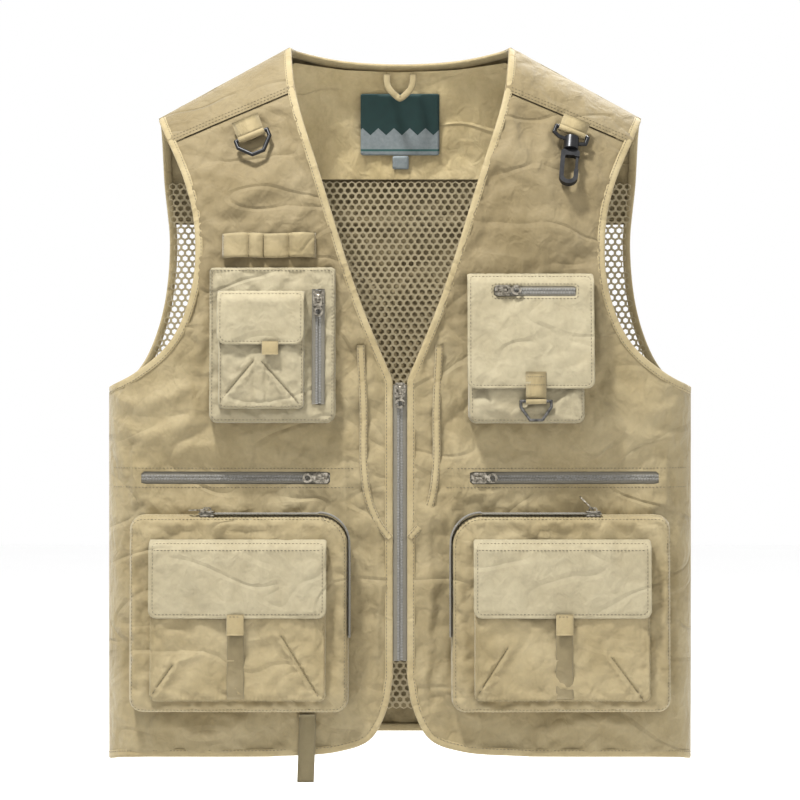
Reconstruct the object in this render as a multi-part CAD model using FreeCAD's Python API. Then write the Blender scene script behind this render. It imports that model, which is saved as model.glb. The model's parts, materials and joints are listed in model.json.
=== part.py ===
"""A sleeveless fishing vest: mesh-lined back, two zipped fronts, box pockets, flaps, zips and hardware.

Millimetres. +Z is up, -Y is the front and +X is the wearer's left. The vest is worked out with its hem
at Z = 0 and its middle at X = Y = 0. Every node is then moved so that the hang loop is the origin.
"""

import FreeCAD, Part
import math
import os

from FreeCAD import Placement, Rotation, Vector

os.makedirs("parts", exist_ok=True)

# Driving sizes of the cloth shell.
HALF_WIDTH = 299.0  # middle to side seam
FRONT_DEPTH = 105.0  # side seam plane to the front
BACK_DEPTH = 95.0  # side seam plane to the back
PLAN_POWER = 5.0  # how square the shell is, seen from above
SHOULDER_DROP = 250.0  # height over which a shoulder rounds into the chest
NECK = (113.6, 724.0)  # where the neckline meets the shoulder ridge, X and Z
SHOULDER = (251.0, 649.0)  # where the armhole meets the shoulder ridge, X and Z
SIDE_DIP = 9.0  # how much lower the hem is at the side seam
SPLIT_Z = 540.0  # the fronts swing below this height
CLOTH = 2.4  # two layers of cloth
BINDING = 8.0  # width of the tape on every raw edge
BINDING_PROUD = 0.9  # how far the tape stands off the cloth, each side
SEAM_GAP = 0.5  # room between pieces on different bodies
ORIGIN = Vector(0.0, 45.0, 690.0)  # the hang loop's gap

# Zips.
CHAIN_GAP = 1.3  # middle of a zip to its teeth
CHAIN_EDGE = 2.7  # middle of a zip to the outer edge of its teeth
CHAIN_HALF_THICK = 1.2
TAPE_HALF_THICK = 0.4
SLIDER_LENGTH = 15.0
SLIDER_HALF_WIDTH = 5.4
SLIDER_PLATE = (1.6, 2.7)  # a plate's inner and outer face above the middle of the chain
PULL_BAR = 0.8  # radius of the bar that a pull turns on
PULL_REACH = 18.5  # bar to the far end of a pull

# Main zip.
CENTRE_EDGE = 7.0  # middle to the bound edge of each front
V_BOTTOM = 376.0
ZIP_BOTTOM = 96.0
MAIN_ZIP_Y = -104.0
MAIN_SLIDER_Z = 367.0


def ridge(x):
    """Height of the shoulder ridge, carried over the neck by a smooth curve."""
    slope = (NECK[1] - SHOULDER[1]) / (SHOULDER[0] - NECK[0])
    if abs(x) > NECK[0]:
        return NECK[1] - slope * (abs(x) - NECK[0])
    return NECK[1] + slope * NECK[0] / 2 * (1 - (x / NECK[0]) ** 2)


def plan(x, offset):
    """Share of the full depth at x, for a shell offset outwards by offset."""
    inside = 1 - (abs(x) / (HALF_WIDTH + offset)) ** PLAN_POWER
    return max(0.0, inside) ** (1 / PLAN_POWER)


def surface_y(x, z, offset=0.0, front=True):
    """Y of the outer cloth at x, z, or of a surface that lies offset outside it."""
    depth = -(FRONT_DEPTH + offset) if front else BACK_DEPTH + offset
    fall = (ridge(x) + offset - z) / (SHOULDER_DROP + offset)
    if fall < 1:
        depth *= math.sqrt(max(0.0, 1 - (1 - fall) ** 2))
    return depth * plan(x, offset)


def spans(points):
    """Running share of a polyline's length at each of its points."""
    run = [0.0]
    for a, b in zip(points, points[1:]):
        run.append(run[-1] + (b - a).Length)
    return [r / run[-1] for r in run]


def smooth_curve(points, shares):
    curve = Part.BSplineCurve()
    curve.interpolate(Points=points, Parameters=shares)
    return curve


def smooth_patch(rows):
    """A surface through a grid of points, its rows and columns spaced like the middle ones."""
    across = spans(rows[len(rows) // 2])
    along = spans([row[len(row) // 2] for row in rows])
    row_curves = [smooth_curve(row, across) for row in rows]
    columns = [list(c) for c in zip(*[curve.getPoles() for curve in row_curves])]
    column_curves = [smooth_curve(column, along) for column in columns]
    poles = [curve.getPoles() for curve in column_curves]
    row_like, column_like = row_curves[0], column_curves[0]
    surface = Part.BSplineSurface()
    surface.buildFromPolesMultsKnots(
        poles,
        row_like.getMultiplicities(),
        column_like.getMultiplicities(),
        row_like.getKnots(),
        column_like.getKnots(),
        False,
        False,
        3,
        3,
    )
    return surface.toShape()


def shell_face(offset, front):
    """One half of the vest's surface, from the ridge to below the hem."""
    half = [0.0, 0.3, 0.55, 0.75, 0.87, 0.94, 0.975, 0.993, 1.0]
    shares = [-s for s in reversed(half[1:])] + half
    turns = [0, 12, 26, 42, 58, 74, 90]
    depth = -(FRONT_DEPTH + offset) if front else BACK_DEPTH + offset
    rows = []
    for turn in turns:
        angle = math.radians(turn)
        row = []
        for share in shares:
            x = share * (HALF_WIDTH + offset)
            z = ridge(x) + offset - (SHOULDER_DROP + offset) * (1 - math.cos(angle))
            row.append(Vector(x, depth * plan(x, offset) * math.sin(angle), z))
        rows.append(row)
    chest = rows[-1]
    bottom = -40.0
    for drop in (0.2, 0.6, 1.0):
        rows.append([Vector(p.x, p.y, p.z + (bottom - p.z) * drop) for p in chest])
    return smooth_patch(rows)


def shell(inner, outer, front=True):
    """The closed slab between two offsets of one half of the vest's surface."""
    near = shell_face(outer, front)
    far = shell_face(inner, front)
    faces = [near, far]
    for a, b in zip(near.Edges, far.Edges):
        faces.append(Part.makeRuledSurface(a, b))
    closed = Part.makeShell(faces)
    closed.sewShape()
    solid = Part.makeSolid(closed)
    return solid if solid.Volume > 0 else Part.makeSolid(closed.reversed())


def edge_xz(points):
    """A straight edge through two points, or a smooth one through more."""
    places = [Vector(x, 0, z) for x, z in points]
    if len(places) == 2:
        return Part.makeLine(places[0], places[1])
    curve = Part.BSplineCurve()
    curve.interpolate(places)
    return curve.toShape()


def outline(*runs):
    """A face in the XZ plane. Each run starts where the one before it ends."""
    return Part.Face(Part.Wire([edge_xz(run) for run in runs]))


def narrowed(face, width):
    """The face without a border of that width, its curved edges drawn again as plain splines."""
    edges = []
    for edge in face.makeOffset2D(-width).OuterWire.OrderedEdges:
        count = 2 if edge.Curve.TypeId == "Part::GeomLine" else 25
        edges.append(edge_xz([(p.x, p.z) for p in edge.discretize(count)]))
    return Part.Face(Part.Wire(edges))


def polygon(points):
    """A flat face in the XZ plane with straight sides."""
    places = [Vector(x, 0, z) for x, z in points]
    return Part.Face(Part.makePolygon(places + places[:1]))


def through(face, low=-200.0, high=200.0):
    """The face carried straight along Y, from low to high."""
    return face.translated(Vector(0, low, 0)).extrude(Vector(0, high - low, 0))


def block(x0, x1, y0, y1, z0, z1):
    return Part.makeBox(x1 - x0, y1 - y0, z1 - z0, Vector(x0, y0, z0))


def rounded(x0, x1, z0, z1, radii):
    """A rectangle in the XZ plane. radii are its corners': low left, low right, high right, high left."""
    corners = [(x0, z0, 1, 1), (x1, z0, -1, 1), (x1, z1, -1, -1), (x0, z1, 1, -1)]
    ends = []
    for k, (x, z, to_x, to_z) in enumerate(corners):
        r = radii[k]
        side = Vector(x, 0, z + to_z * r)
        level = Vector(x + to_x * r, 0, z)
        bulge = r * (1 - math.sqrt(0.5))
        middle = Vector(x + to_x * bulge, 0, z + to_z * bulge)
        first, last = (side, level) if k % 2 == 0 else (level, side)
        ends.append((first, middle, last))
    edges = []
    for k, (first, middle, last) in enumerate(ends):
        if radii[k] > 0:
            edges.append(Part.Arc(first, middle, last).toShape())
        edges.append(Part.makeLine(last, ends[(k + 1) % 4][0]))
    return Part.Face(Part.Wire(edges))


def fuse(shapes):
    """One shape made of overlapping or touching shapes."""
    whole = shapes[0].fuse(shapes[1:]) if len(shapes) > 1 else shapes[0]
    return whole.removeSplitter()


def mirrored(shape):
    return shape.mirror(Vector(0, 0, 0), Vector(1, 0, 0))


def rod(a, b, radius):
    """A round bar from a to b."""
    return Part.makeCylinder(radius, (b - a).Length, a, b - a)


def rod_ring(points, radius):
    """A closed loop of round bar with ball corners."""
    pieces = []
    for k, point in enumerate(points):
        pieces.append(rod(point, points[(k + 1) % len(points)], radius))
        pieces.append(Part.makeSphere(radius, point))
    return fuse(pieces)


def at(shape, place):
    """A copy of the shape moved from its local frame to where it is on the vest."""
    moved = shape.copy()
    moved.Placement = place.multiply(moved.Placement)
    return moved


def stand(x, y, z, turn=0.0, lean=0.0, roll=0.0):
    """A local frame whose -Y faces outwards. Degrees: turn is about Z, lean about X and roll about Y."""
    turned = Rotation(Vector(0, 0, 1), turn)
    leant = Rotation(Vector(1, 0, 0), lean)
    rolled = Rotation(Vector(0, 1, 0), roll)
    return Placement(Vector(x, y, z), turned.multiply(leant).multiply(rolled))


nodes = {}


def keep(name, shape):
    """Adds the node, in the part's own frame."""
    solids = [solid.translated(-ORIGIN) for solid in shape.Solids]
    nodes[name] = solids[0] if len(solids) == 1 else Part.makeCompound(solids)


# ---------------------------------------------------------------- outlines

BEYOND = 330.0  # outside the side seam
ABOVE = 790.0  # above the ridge

NECKLINE = [(-119, ABOVE), (-113.6, 724), (-105.5, 667), (-80, 583), (-41, 460), (-CENTRE_EDGE, V_BOTTOM)]
HEM_CORNER = [(-CENTRE_EDGE, 80), (-13, 48), (-30, 17), (-62, 5), (-130, 0)]
HEM_SIDE = [(-130, 0), (-230, -1), (-262, -2.2), (-286, -4.6), (-299, -SIDE_DIP), (-BEYOND, -SIDE_DIP - 8)]
FRONT_ARMHOLE = [(-BEYOND, 362), (-299, 369.5), (-268, 384), (-230, 417), (-209, 470), (-207, 530)]
FRONT_ARMHOLE += [(-218, 577), (-251, 650), (-275, ABOVE)]
BACK_ARMHOLE = [(-BEYOND, 362), (-299, 369.5), (-276, 396), (-256, 448), (-247, 520), (-251, 590)]
BACK_ARMHOLE += [(-253, 650), (-254, ABOVE)]
BACK_NECK = [(-113.6, 724), (-60, 716.5), (0, 714), (60, 716.5), (113.6, 724)]


def front_outline():
    """The wearer's right front, seen from the front, reaching past the side seam and the ridge."""
    return outline(
        NECKLINE,
        [NECKLINE[-1], HEM_CORNER[0]],
        HEM_CORNER,
        HEM_SIDE,
        [HEM_SIDE[-1], FRONT_ARMHOLE[0]],
        FRONT_ARMHOLE,
        [FRONT_ARMHOLE[-1], NECKLINE[0]],
    )


def back_outline():
    """The whole back, seen from the front, reaching past the side seams and the ridge."""
    left_armhole = [(-x, z) for x, z in reversed(BACK_ARMHOLE)]
    left_hem = [(-x, z) for x, z in reversed(HEM_SIDE)]
    return outline(
        [HEM_SIDE[-1], BACK_ARMHOLE[0]],
        BACK_ARMHOLE,
        [BACK_ARMHOLE[-1], (-119, ABOVE)],
        [(-119, ABOVE), BACK_NECK[0]],
        BACK_NECK,
        [BACK_NECK[-1], (119, ABOVE)],
        [(119, ABOVE), left_armhole[0]],
        left_armhole,
        [left_armhole[-1], left_hem[0]],
        left_hem,
        [left_hem[-1], HEM_SIDE[0]],
        HEM_SIDE,
    )


front_face = front_outline()
front_inner = narrowed(front_face, BINDING)
back_face = back_outline()
back_inner = narrowed(back_face, BINDING)
front_tape_face = front_face.cut(front_inner)
back_tape_face = back_face.cut(back_inner)

cloth_front = shell(-CLOTH, 0)
cloth_back = shell(-CLOTH, 0, front=False)
tape_front = shell(-CLOTH - BINDING_PROUD, BINDING_PROUD)
tape_back = shell(-CLOTH - BINDING_PROUD, BINDING_PROUD, front=False)

# The right front swings, so it stays clear of the back and of the upper front.
swings = block(-BEYOND, 0, -200, -SEAM_GAP, -60, SPLIT_Z - SEAM_GAP)
stays = block(-BEYOND, 0, -200, 0, SPLIT_Z + SEAM_GAP, ABOVE)

# The shoulder yoke wraps from its front seams, over the ridge, to its back seam.
FRONT_YOKE_SEAM = [(-300, 592.5), (-60, 690)]
BACK_YOKE_Z = 543.0
above_front_seam = polygon([*FRONT_YOKE_SEAM, (-60, ABOVE), (-300, ABOVE)])
yoke_front = cloth_front.common(through(front_inner)).common(through(above_front_seam))
yoke_back = cloth_back.common(through(back_inner)).common(block(-BEYOND, BEYOND, 0, 200, BACK_YOKE_Z, ABOVE))
keep("shoulder_yoke", fuse([yoke_back, yoke_front, mirrored(yoke_front)]))

upper_front = cloth_front.common(through(front_inner)).common(stays).cut(through(above_front_seam))
keep("right_upper_front", upper_front)
keep("left_upper_front", mirrored(upper_front))

# Back: a full-width lower panel and a narrower middle panel up to the yoke, in one piece.
LOWER_BACK_Z = 262.0
MIDDLE_BACK_X = 168.0
lower_back = block(-BEYOND, BEYOND, 0, 200, -60, LOWER_BACK_Z)
middle_back = block(-MIDDLE_BACK_X, MIDDLE_BACK_X, 0, 200, LOWER_BACK_Z, BACK_YOKE_Z)
back_cloth = cloth_back.common(through(back_inner)).common(fuse([lower_back, middle_back]))
keep("back_panel", back_cloth)

# Mesh lining inside the back, from the facing to just above the hem.
MESH = 1.2
MESH_TOP = 594.0
MESH_BOTTOM = 22.0
LINING_GAP = 1.4
mesh_outer = -CLOTH - BINDING_PROUD - LINING_GAP
mesh_shell = shell(mesh_outer - MESH, mesh_outer, front=False)
mesh_zone = block(-BEYOND, BEYOND, 1, 200, MESH_BOTTOM, MESH_TOP)
keep("back_mesh_lining", mesh_shell.common(through(back_inner)).common(mesh_zone))

# Cloth facing inside the yoke, with the label on it.
FACING_HALF = 205.0
facing_shell = shell(mesh_outer - CLOTH, mesh_outer + 1.0, front=False)
facing_zone = block(-FACING_HALF, FACING_HALF, 12, 200, MESH_TOP + 0.4, ABOVE)
keep("neck_facing", facing_shell.common(through(back_inner)).common(facing_zone))

LABEL_OUTER = mesh_outer - CLOTH - 0.5
label_shell = shell(LABEL_OUTER - 1.0, LABEL_OUTER, front=False)
label = rounded(-42.5, 42.5, 621, 686, [1, 1, 1, 1])
size_tag = rounded(-8, 9.5, 606, 620.6, [1, 1, 1, 1])
label_parts = [label_shell.common(through(face, 0, 200)) for face in (label, size_tag)]
keep("neck_label", Part.makeCompound(label_parts))

# Hang loop: a ribbon folded to a point, standing off the facing, sewn in under the neck binding.
LOOP_HALF = 17.0
RIBBON = 7.0
RIBBON_THICK = 1.4
loop_corners = [(-LOOP_HALF, 704), (LOOP_HALF, 704), (LOOP_HALF, 690), (3, 672), (-3, 672), (-LOOP_HALF, 690)]
loop_out = polygon(loop_corners)
loop_in = polygon([(-10, 697.5), (10, 697.5), (10, 692), (1, 680), (-1, 680), (-10, 692)])
loop_shape = through(loop_out.cut(loop_in), ORIGIN.y - RIBBON_THICK / 2, ORIGIN.y + RIBBON_THICK / 2)
loop_ends = [block(x - RIBBON / 2, x + RIBBON / 2, ORIGIN.y, 49.8, 702.6, 704) for x in (-13.5, 13.5)]
keep("hang_loop", fuse([loop_shape, *loop_ends]))

# Bindings that stay: armholes above the split and round the back, the neck, the back hem.
back_tape = tape_back.common(through(back_tape_face))
front_tape = tape_front.common(through(front_tape_face))
front_tape_up = front_tape.common(stays)
armhole_zone = block(-BEYOND, -160, -200, 200, 300, ABOVE)
armhole_front = front_tape_up.common(armhole_zone)
armhole_back = back_tape.common(block(-BEYOND, -160, 0, 200, 300, ABOVE))
armhole = fuse([armhole_back, armhole_front])
keep("armhole_bindings", Part.makeCompound([armhole, mirrored(armhole)]))

neck_front = front_tape_up.common(block(-160, 0, -200, 0, 300, ABOVE))
neck_back = back_tape.common(block(-160, 160, 0, 200, 600, ABOVE))
keep("neck_binding", fuse([neck_back, neck_front, mirrored(neck_front)]))
keep("back_hem_binding", back_tape.common(block(-BEYOND, BEYOND, 0, 200, -60, 60)))

# ---------------------------------------------------------------- local parts of zips


def zip_strip(length, half_window, one_side=None):
    """A closed zip along local X, teeth towards -Y. one_side keeps one half of it, -1 or 1."""
    parts = []
    sides = (-1, 1) if one_side is None else (one_side,)
    for side in sides:
        inner, edge, outer = side * CHAIN_GAP, side * CHAIN_EDGE, side * half_window
        teeth = sorted((inner, edge))
        tape = sorted((edge, outer))
        teeth_box = block(-length / 2, length / 2, -CHAIN_HALF_THICK, CHAIN_HALF_THICK, *teeth)
        tape_box = block(-length / 2, length / 2, -TAPE_HALF_THICK, TAPE_HALF_THICK, *tape)
        parts += [teeth_box, tape_box]
    if one_side is None:
        for end in (-1, 1):
            x0, x1 = sorted((end * length / 2, end * (length / 2 - 1.5)))
            parts.append(block(x0, x1, -CHAIN_HALF_THICK, CHAIN_HALF_THICK, -CHAIN_EDGE, CHAIN_EDGE))
    return fuse(parts)


def slider_shape(open_side=None):
    """A zip slider round a chain along local X. Its wide end, where the chain parts, is at -X."""
    length, half = SLIDER_LENGTH, SLIDER_HALF_WIDTH
    plate = rounded(-length / 2, length / 2, -half, half, [2.5, 1.5, 1.5, 2.5])
    low, high = SLIDER_PLATE
    parts = [through(plate, -high, -low), through(plate, low, high)]
    parts.append(block(-length / 2 + 1, -length / 2 + 4, -low, low, -0.9, 0.9))
    for side in (-1, 1):
        if side == open_side:
            continue
        z0, z1 = sorted((side * half, side * (half - 1.0)))
        for y0, y1 in ((-low, -0.9), (0.9, low)):
            parts.append(block(-length / 2 + 3, length / 2 - 2, y0, y1, z0, z1))
    crown = high + 3.6
    bridge = through(rounded(-4.4, 4.4, high - 0.3, crown, [0, 0, 2.4, 2.4]), -1.1, 1.1)
    gap = through(rounded(-2.9, 2.9, high, crown - 1.3, [0, 0, 1.2, 1.2]), -2, 2)
    arch = bridge.cut(gap)
    upright = Placement(Vector(0, 0, 0), Rotation(Vector(1, 0, 0), 90))
    parts.append(at(arch, upright))
    return fuse(parts)


def pull_shape():
    """A zip pull that lies along local +X from its bar at the origin, flat side towards -Y."""
    thick = 1.3
    eye = rounded(-PULL_BAR, 8.2, -3.6, 3.6, [0.7, 2, 2, 0.7])
    eye_gap = rounded(PULL_BAR, 5.4, -1.8, 1.8, [0.4, 0.6, 0.6, 0.4])
    neck = rounded(6.5, 12.5, -2.3, 2.3, [0.5, 0.5, 0.5, 0.5])
    ring_x = PULL_REACH - 5.0
    flat = fuse([through(eye, -thick / 2, thick / 2), through(neck, -thick / 2, thick / 2)])
    ring = Part.makeCylinder(5.0, thick, Vector(ring_x, -thick / 2, 0), Vector(0, 1, 0))
    hole = Part.makeCylinder(2.7, 4, Vector(ring_x, -2, 0), Vector(0, 1, 0))
    bar = rod(Vector(0, 0, -3.4), Vector(0, 0, 3.4), PULL_BAR)
    return fuse([flat.cut(through(eye_gap, -2, 2)), ring.cut(hole), bar]).cut(hole)


PULL_HEIGHT = SLIDER_PLATE[1] + 1.2  # bar above the middle of the chain


def chain_frame(place, x, y, z, heading, face_up=False):
    """A frame on a zip inside the frame place. heading turns local X in the zip's plane, in degrees.

    face_up sets the zip on a top face, looking up; otherwise it looks along local -Y.
    """
    spin = Rotation(Vector(0, 1, 0), heading)
    if face_up:
        spin = Rotation(Vector(1, 0, 0), -90).multiply(spin)
    return place.multiply(Placement(Vector(x, y, z), spin))


def point_of(place, x=0.0, y=0.0, z=0.0):
    return place.multVec(Vector(x, y, z))


joint_notes = []


def keep_slider(name, place, travel, open_side=None):
    """The slider and its pull on a chain whose middle is at place; it travels along local +X."""
    keep(name + "_slider", at(slider_shape(open_side), place))
    pull_place = place.multiply(Placement(Vector(0, -PULL_HEIGHT, 0), Rotation()))
    keep(name + "_pull", at(pull_shape(), pull_place))
    along = place.Rotation.multVec(Vector(1, 0, 0))
    turn = place.Rotation.multVec(Vector(0, 0, -1))
    joint_notes.append((name + "_slider", point_of(place), along, travel))
    joint_notes.append((name + "_pull", point_of(pull_place), turn, None))


# ---------------------------------------------------------------- the fronts

WAIST_Z = 279.0
WAIST_HALF_WINDOW = 8.25
WAIST_ENDS = (-70.0, -259.5)
waist_centre = sum(WAIST_ENDS) / 2
waist_in_y = surface_y(WAIST_ENDS[0], WAIST_Z)
waist_out_y = surface_y(WAIST_ENDS[1], WAIST_Z)
WAIST_LENGTH = abs(WAIST_ENDS[0] - WAIST_ENDS[1])
waist_turn = -math.degrees(math.atan2(waist_out_y - waist_in_y, WAIST_LENGTH))
waist_window = rounded(
    WAIST_ENDS[1], WAIST_ENDS[0], WAIST_Z - WAIST_HALF_WINDOW, WAIST_Z + WAIST_HALF_WINDOW, [1, 1, 1, 1]
)

front_cloth = cloth_front.common(through(front_inner)).common(swings).cut(through(waist_window))
keep("right_front_panel", front_cloth)
keep("left_front_panel", mirrored(front_cloth))
edge_tape = front_tape.common(swings)
keep("right_edge_binding", edge_tape)
keep("left_edge_binding", mirrored(edge_tape))

# Trim tape: curves from the neckline down beside the zip and in to the centre edge.
TRIM_LEFT = [(-43.5, 418), (-40.5, 350), (-40, 290), (-36, 257), (-23, 226)]
TRIM_RIGHT = [(-15.5, 230), (-28, 260), (-32, 290), (-32.5, 350), (-35.5, 404)]
trim_face = outline(TRIM_LEFT, [TRIM_LEFT[-1], TRIM_RIGHT[0]], TRIM_RIGHT, [TRIM_RIGHT[-1], TRIM_LEFT[0]])
trim_tape = shell(0.3, 1.3).common(through(trim_face)).common(through(front_inner))
keep("right_trim_tape", trim_tape)
keep("left_trim_tape", mirrored(trim_tape))

# Main zip: one half on each front, the box and retainer on the left half.
main_length = V_BOTTOM - 4 - ZIP_BOTTOM
main_middle = (V_BOTTOM - 4 + ZIP_BOTTOM) / 2
main_place = chain_frame(Placement(), 0, MAIN_ZIP_Y, main_middle, 90)
main_window = CENTRE_EDGE - 0.2
wearer_right = at(zip_strip(main_length, main_window, -1), main_place)
wearer_left = at(zip_strip(main_length, main_window, 1), main_place)
BOX_HALF = 4.2
zip_box = block(-1.0, BOX_HALF + 1, MAIN_ZIP_Y - 2.2, MAIN_ZIP_Y + 2.2, 81, 95.6)
retainer = block(CHAIN_GAP, main_window, MAIN_ZIP_Y - TAPE_HALF_THICK, MAIN_ZIP_Y + TAPE_HALF_THICK, 95, 97)
pin = block(-BOX_HALF, -CHAIN_GAP - 0.3, MAIN_ZIP_Y - 1.2, MAIN_ZIP_Y + 1.2, 83, 96.5)
keep("main_zip_right", fuse([wearer_right, pin]))
keep("main_zip_left", fuse([wearer_left, zip_box, retainer]))
keep_slider("main", chain_frame(Placement(), 0, MAIN_ZIP_Y, MAIN_SLIDER_Z, 90), 262.0, open_side=-1)

# Waist zips: straight across each front.
SLIDER_END = 8.5  # end of a window to the middle of a slider there
waist_y = (waist_in_y + waist_out_y) / 2
waist_place = stand(waist_centre, waist_y, WAIST_Z, turn=waist_turn)
waist_strip = zip_strip(WAIST_LENGTH - 0.6, WAIST_HALF_WINDOW - 0.2)
keep("right_waist_zip", at(waist_strip, waist_place))
waist_reach = WAIST_LENGTH / 2 - SLIDER_END
waist_travel = 2 * waist_reach
keep_slider("right_waist", chain_frame(waist_place, waist_reach, 0, 0, 180), waist_travel)
left_waist_place = stand(-waist_centre, waist_y, WAIST_Z, turn=-waist_turn)
keep("left_waist_zip", at(waist_strip, left_waist_place))
keep_slider("left_waist", chain_frame(left_waist_place, -waist_reach, 0, 0, 0), waist_travel)

# ---------------------------------------------------------------- pockets


def core(offset):
    """Everything inside the vest's surface below the shoulders, offset outwards."""
    half = [0.0, 0.3, 0.55, 0.75, 0.87, 0.94, 0.975, 0.993, 1.0]
    shares = [-s for s in reversed(half[1:])] + half
    points = []
    for share in shares:
        x = share * (HALF_WIDTH + offset)
        points.append(Vector(x, -(FRONT_DEPTH + offset) * plan(x, offset), -40))
    front = smooth_curve(points, spans(points)).toShape()
    first, last = points[0], points[-1]
    back = Part.makePolygon([last, Vector(last.x, 60, -40), Vector(first.x, 60, -40), first])
    return Part.Face(Part.Wire([front, *back.Edges])).extrude(Vector(0, 0, 620))


core_clear = core(0.4)


def pocket_block(face, place):
    """A pocket from its flat front face, at local Y = 0, back to the vest."""
    return at(through(face, 0, 70), place).cut(core_clear)


POCKET_WALL = 1.6
PATCH_DEPTH = (0.3, 10.3)  # back and front of a patch pocket, in front of the face that it is sewn to
FLAP = 2.0  # thickness of a flap
FLAP_RISE = 10.0  # a flap's seam above the mouth that it covers


def patch_pocket(x0, x1, z0, z1):
    """A flat pocket on a face at local Y = 0, open at its top."""
    back, front = PATCH_DEPTH
    whole = through(rounded(x0, x1, z0, z1, [5, 5, 0, 0]), -front, -back)
    hollow = block(x0 + POCKET_WALL, x1 - POCKET_WALL, -front + 1.2, -back - 1.2, z0 + POCKET_WALL, z1 + 1)
    return whole.cut(hollow)


def flap_shape(x0, x1, z_low, z_top, seam_y, front_y, corner, tab=None):
    """A flap that leaves its seam at z_top, stands off by front_y and hangs down to z_low."""
    bend = z_top - FLAP_RISE
    side = [(seam_y - FLAP / 2, z_top), (seam_y + FLAP / 2, z_top), (front_y + FLAP, bend)]
    side += [(front_y + FLAP, z_low - 40), (front_y, z_low - 40), (front_y, bend)]
    places = [Vector(x0, y, z) for y, z in side]
    profile = Part.Face(Part.makePolygon(places + places[:1])).extrude(Vector(x1 - x0, 0, 0))
    shape = through(rounded(x0, x1, z_low, z_top + 5, [corner, corner, 0, 0]))
    if tab is not None:
        centre, half, low = tab
        shape = fuse([shape, through(rounded(centre - half, centre + half, low, z_low + 5, [3, 3, 0, 0]))])
    return profile.common(shape)


def flap_hinge(name, place, x, seam_y, z_top):
    axis = place.Rotation.multVec(Vector(-1, 0, 0))
    joint_notes.append((name, point_of(place, x, seam_y, z_top), axis, None))


# Wearer's right chest pocket: a box with a patch pocket, a flap and a standing zip.
CHEST_Z = 412.5
CHEST_R_X = -126.5
chest_r_place = stand(CHEST_R_X, -119.0, CHEST_Z, lean=-4.0)
chest_r_face = rounded(-64.5, 62.5, -79, 77.5, [8, 10, 4, 4])
CHEST_ZIP_X = 45.25
CHEST_ZIP_Z = (-60.5, 55.5)
CHAIN_FRONT = -0.6  # a chain's middle in front of the face that it is let into
slot_face = rounded(CHEST_ZIP_X - 6.2, CHEST_ZIP_X + 6.2, CHEST_ZIP_Z[0], CHEST_ZIP_Z[1], [1, 1, 1, 1])
chest_r_slot = at(through(slot_face, -5, 3), chest_r_place)
keep("right_chest_pocket", pocket_block(chest_r_face, chest_r_place).cut(chest_r_slot))
CHEST_PATCH = (-54.0, 31.5, -64.5, 43.5)
keep("right_chest_patch_pocket", at(patch_pocket(*CHEST_PATCH), chest_r_place))
chest_zip_length = CHEST_ZIP_Z[1] - CHEST_ZIP_Z[0]
chest_zip_middle = sum(CHEST_ZIP_Z) / 2
chest_zip_place = chain_frame(chest_r_place, CHEST_ZIP_X, CHAIN_FRONT, chest_zip_middle, 90)
keep("right_chest_zip", at(zip_strip(chest_zip_length - 0.6, 6.0), chest_zip_place))
chest_zip_top = CHEST_ZIP_Z[1] - 10
chest_travel = chest_zip_length - 20
chest_slider_place = chain_frame(chest_r_place, CHEST_ZIP_X, CHAIN_FRONT, chest_zip_top, 90)
keep_slider("right_chest", chest_slider_place, chest_travel)
FLAP_SEAM_Y = -1.8
FLAP_FRONT_Y = -PATCH_DEPTH[1] - 0.5 - FLAP
chest_flap_top = CHEST_PATCH[3] + FLAP_RISE
chest_flap = flap_shape(-55.0, 31.5, -0.5, chest_flap_top, FLAP_SEAM_Y, FLAP_FRONT_Y, 9, (-12.5, 8.5, -11))
keep("right_chest_flap", at(chest_flap, chest_r_place))
flap_hinge("right_chest_flap", chest_r_place, -12, FLAP_SEAM_Y, chest_flap_top)

# Wearer's left chest pocket: deep at the bottom, open at the top under a flap that carries a zip.
chest_l_place = stand(128.0, -123.0, 410.0, lean=-7.0)
LEFT_BOX = (-60.0, 56.0, -77.0, 60.0)
left_face = rounded(*LEFT_BOX, [8, 8, 0, 0])
left_hollow_face = rounded(LEFT_BOX[0] + 2, LEFT_BOX[1] - 2, LEFT_BOX[2] + 2, LEFT_BOX[3] + 6, [6, 6, 0, 0])
left_hollow = at(through(left_hollow_face, POCKET_WALL, 70), chest_l_place).cut(core(1.6))
left_mouth = at(through(polygon([(-70, 60), (70, 60), (70, 90), (-70, 90)]), -20, 70), chest_l_place)
left_box = pocket_block(left_face, chest_l_place).cut(left_hollow).cut(left_mouth)
keep("left_chest_pocket", left_box)
LEFT_FLAP_SEAM_Y = 7.6
LEFT_FLAP_FRONT_Y = -5.4
LEFT_FLAP_TOP = 74.0
LEFT_ZIP = (-34.5, 47.0, 55.5)
left_flap = flap_shape(-61.0, 65.0, -42.0, LEFT_FLAP_TOP, LEFT_FLAP_SEAM_Y, LEFT_FLAP_FRONT_Y, 8)
left_window = rounded(LEFT_ZIP[0], LEFT_ZIP[1], LEFT_ZIP[2] - 7, LEFT_ZIP[2] + 7, [1, 1, 1, 1])
keep("left_chest_flap", at(left_flap.cut(through(left_window)), chest_l_place))
flap_hinge("left_chest_flap", chest_l_place, 0, LEFT_FLAP_SEAM_Y, LEFT_FLAP_TOP)
left_zip_length = LEFT_ZIP[1] - LEFT_ZIP[0]
left_zip_middle = (LEFT_ZIP[1] + LEFT_ZIP[0]) / 2
LEFT_ZIP_Y = LEFT_FLAP_FRONT_Y + FLAP / 2
left_zip_place = chain_frame(chest_l_place, left_zip_middle, LEFT_ZIP_Y, LEFT_ZIP[2], 0)
keep("left_flap_zip", at(zip_strip(left_zip_length - 0.6, 6.8), left_zip_place))
left_slider_x = LEFT_ZIP[0] + SLIDER_END
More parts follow.
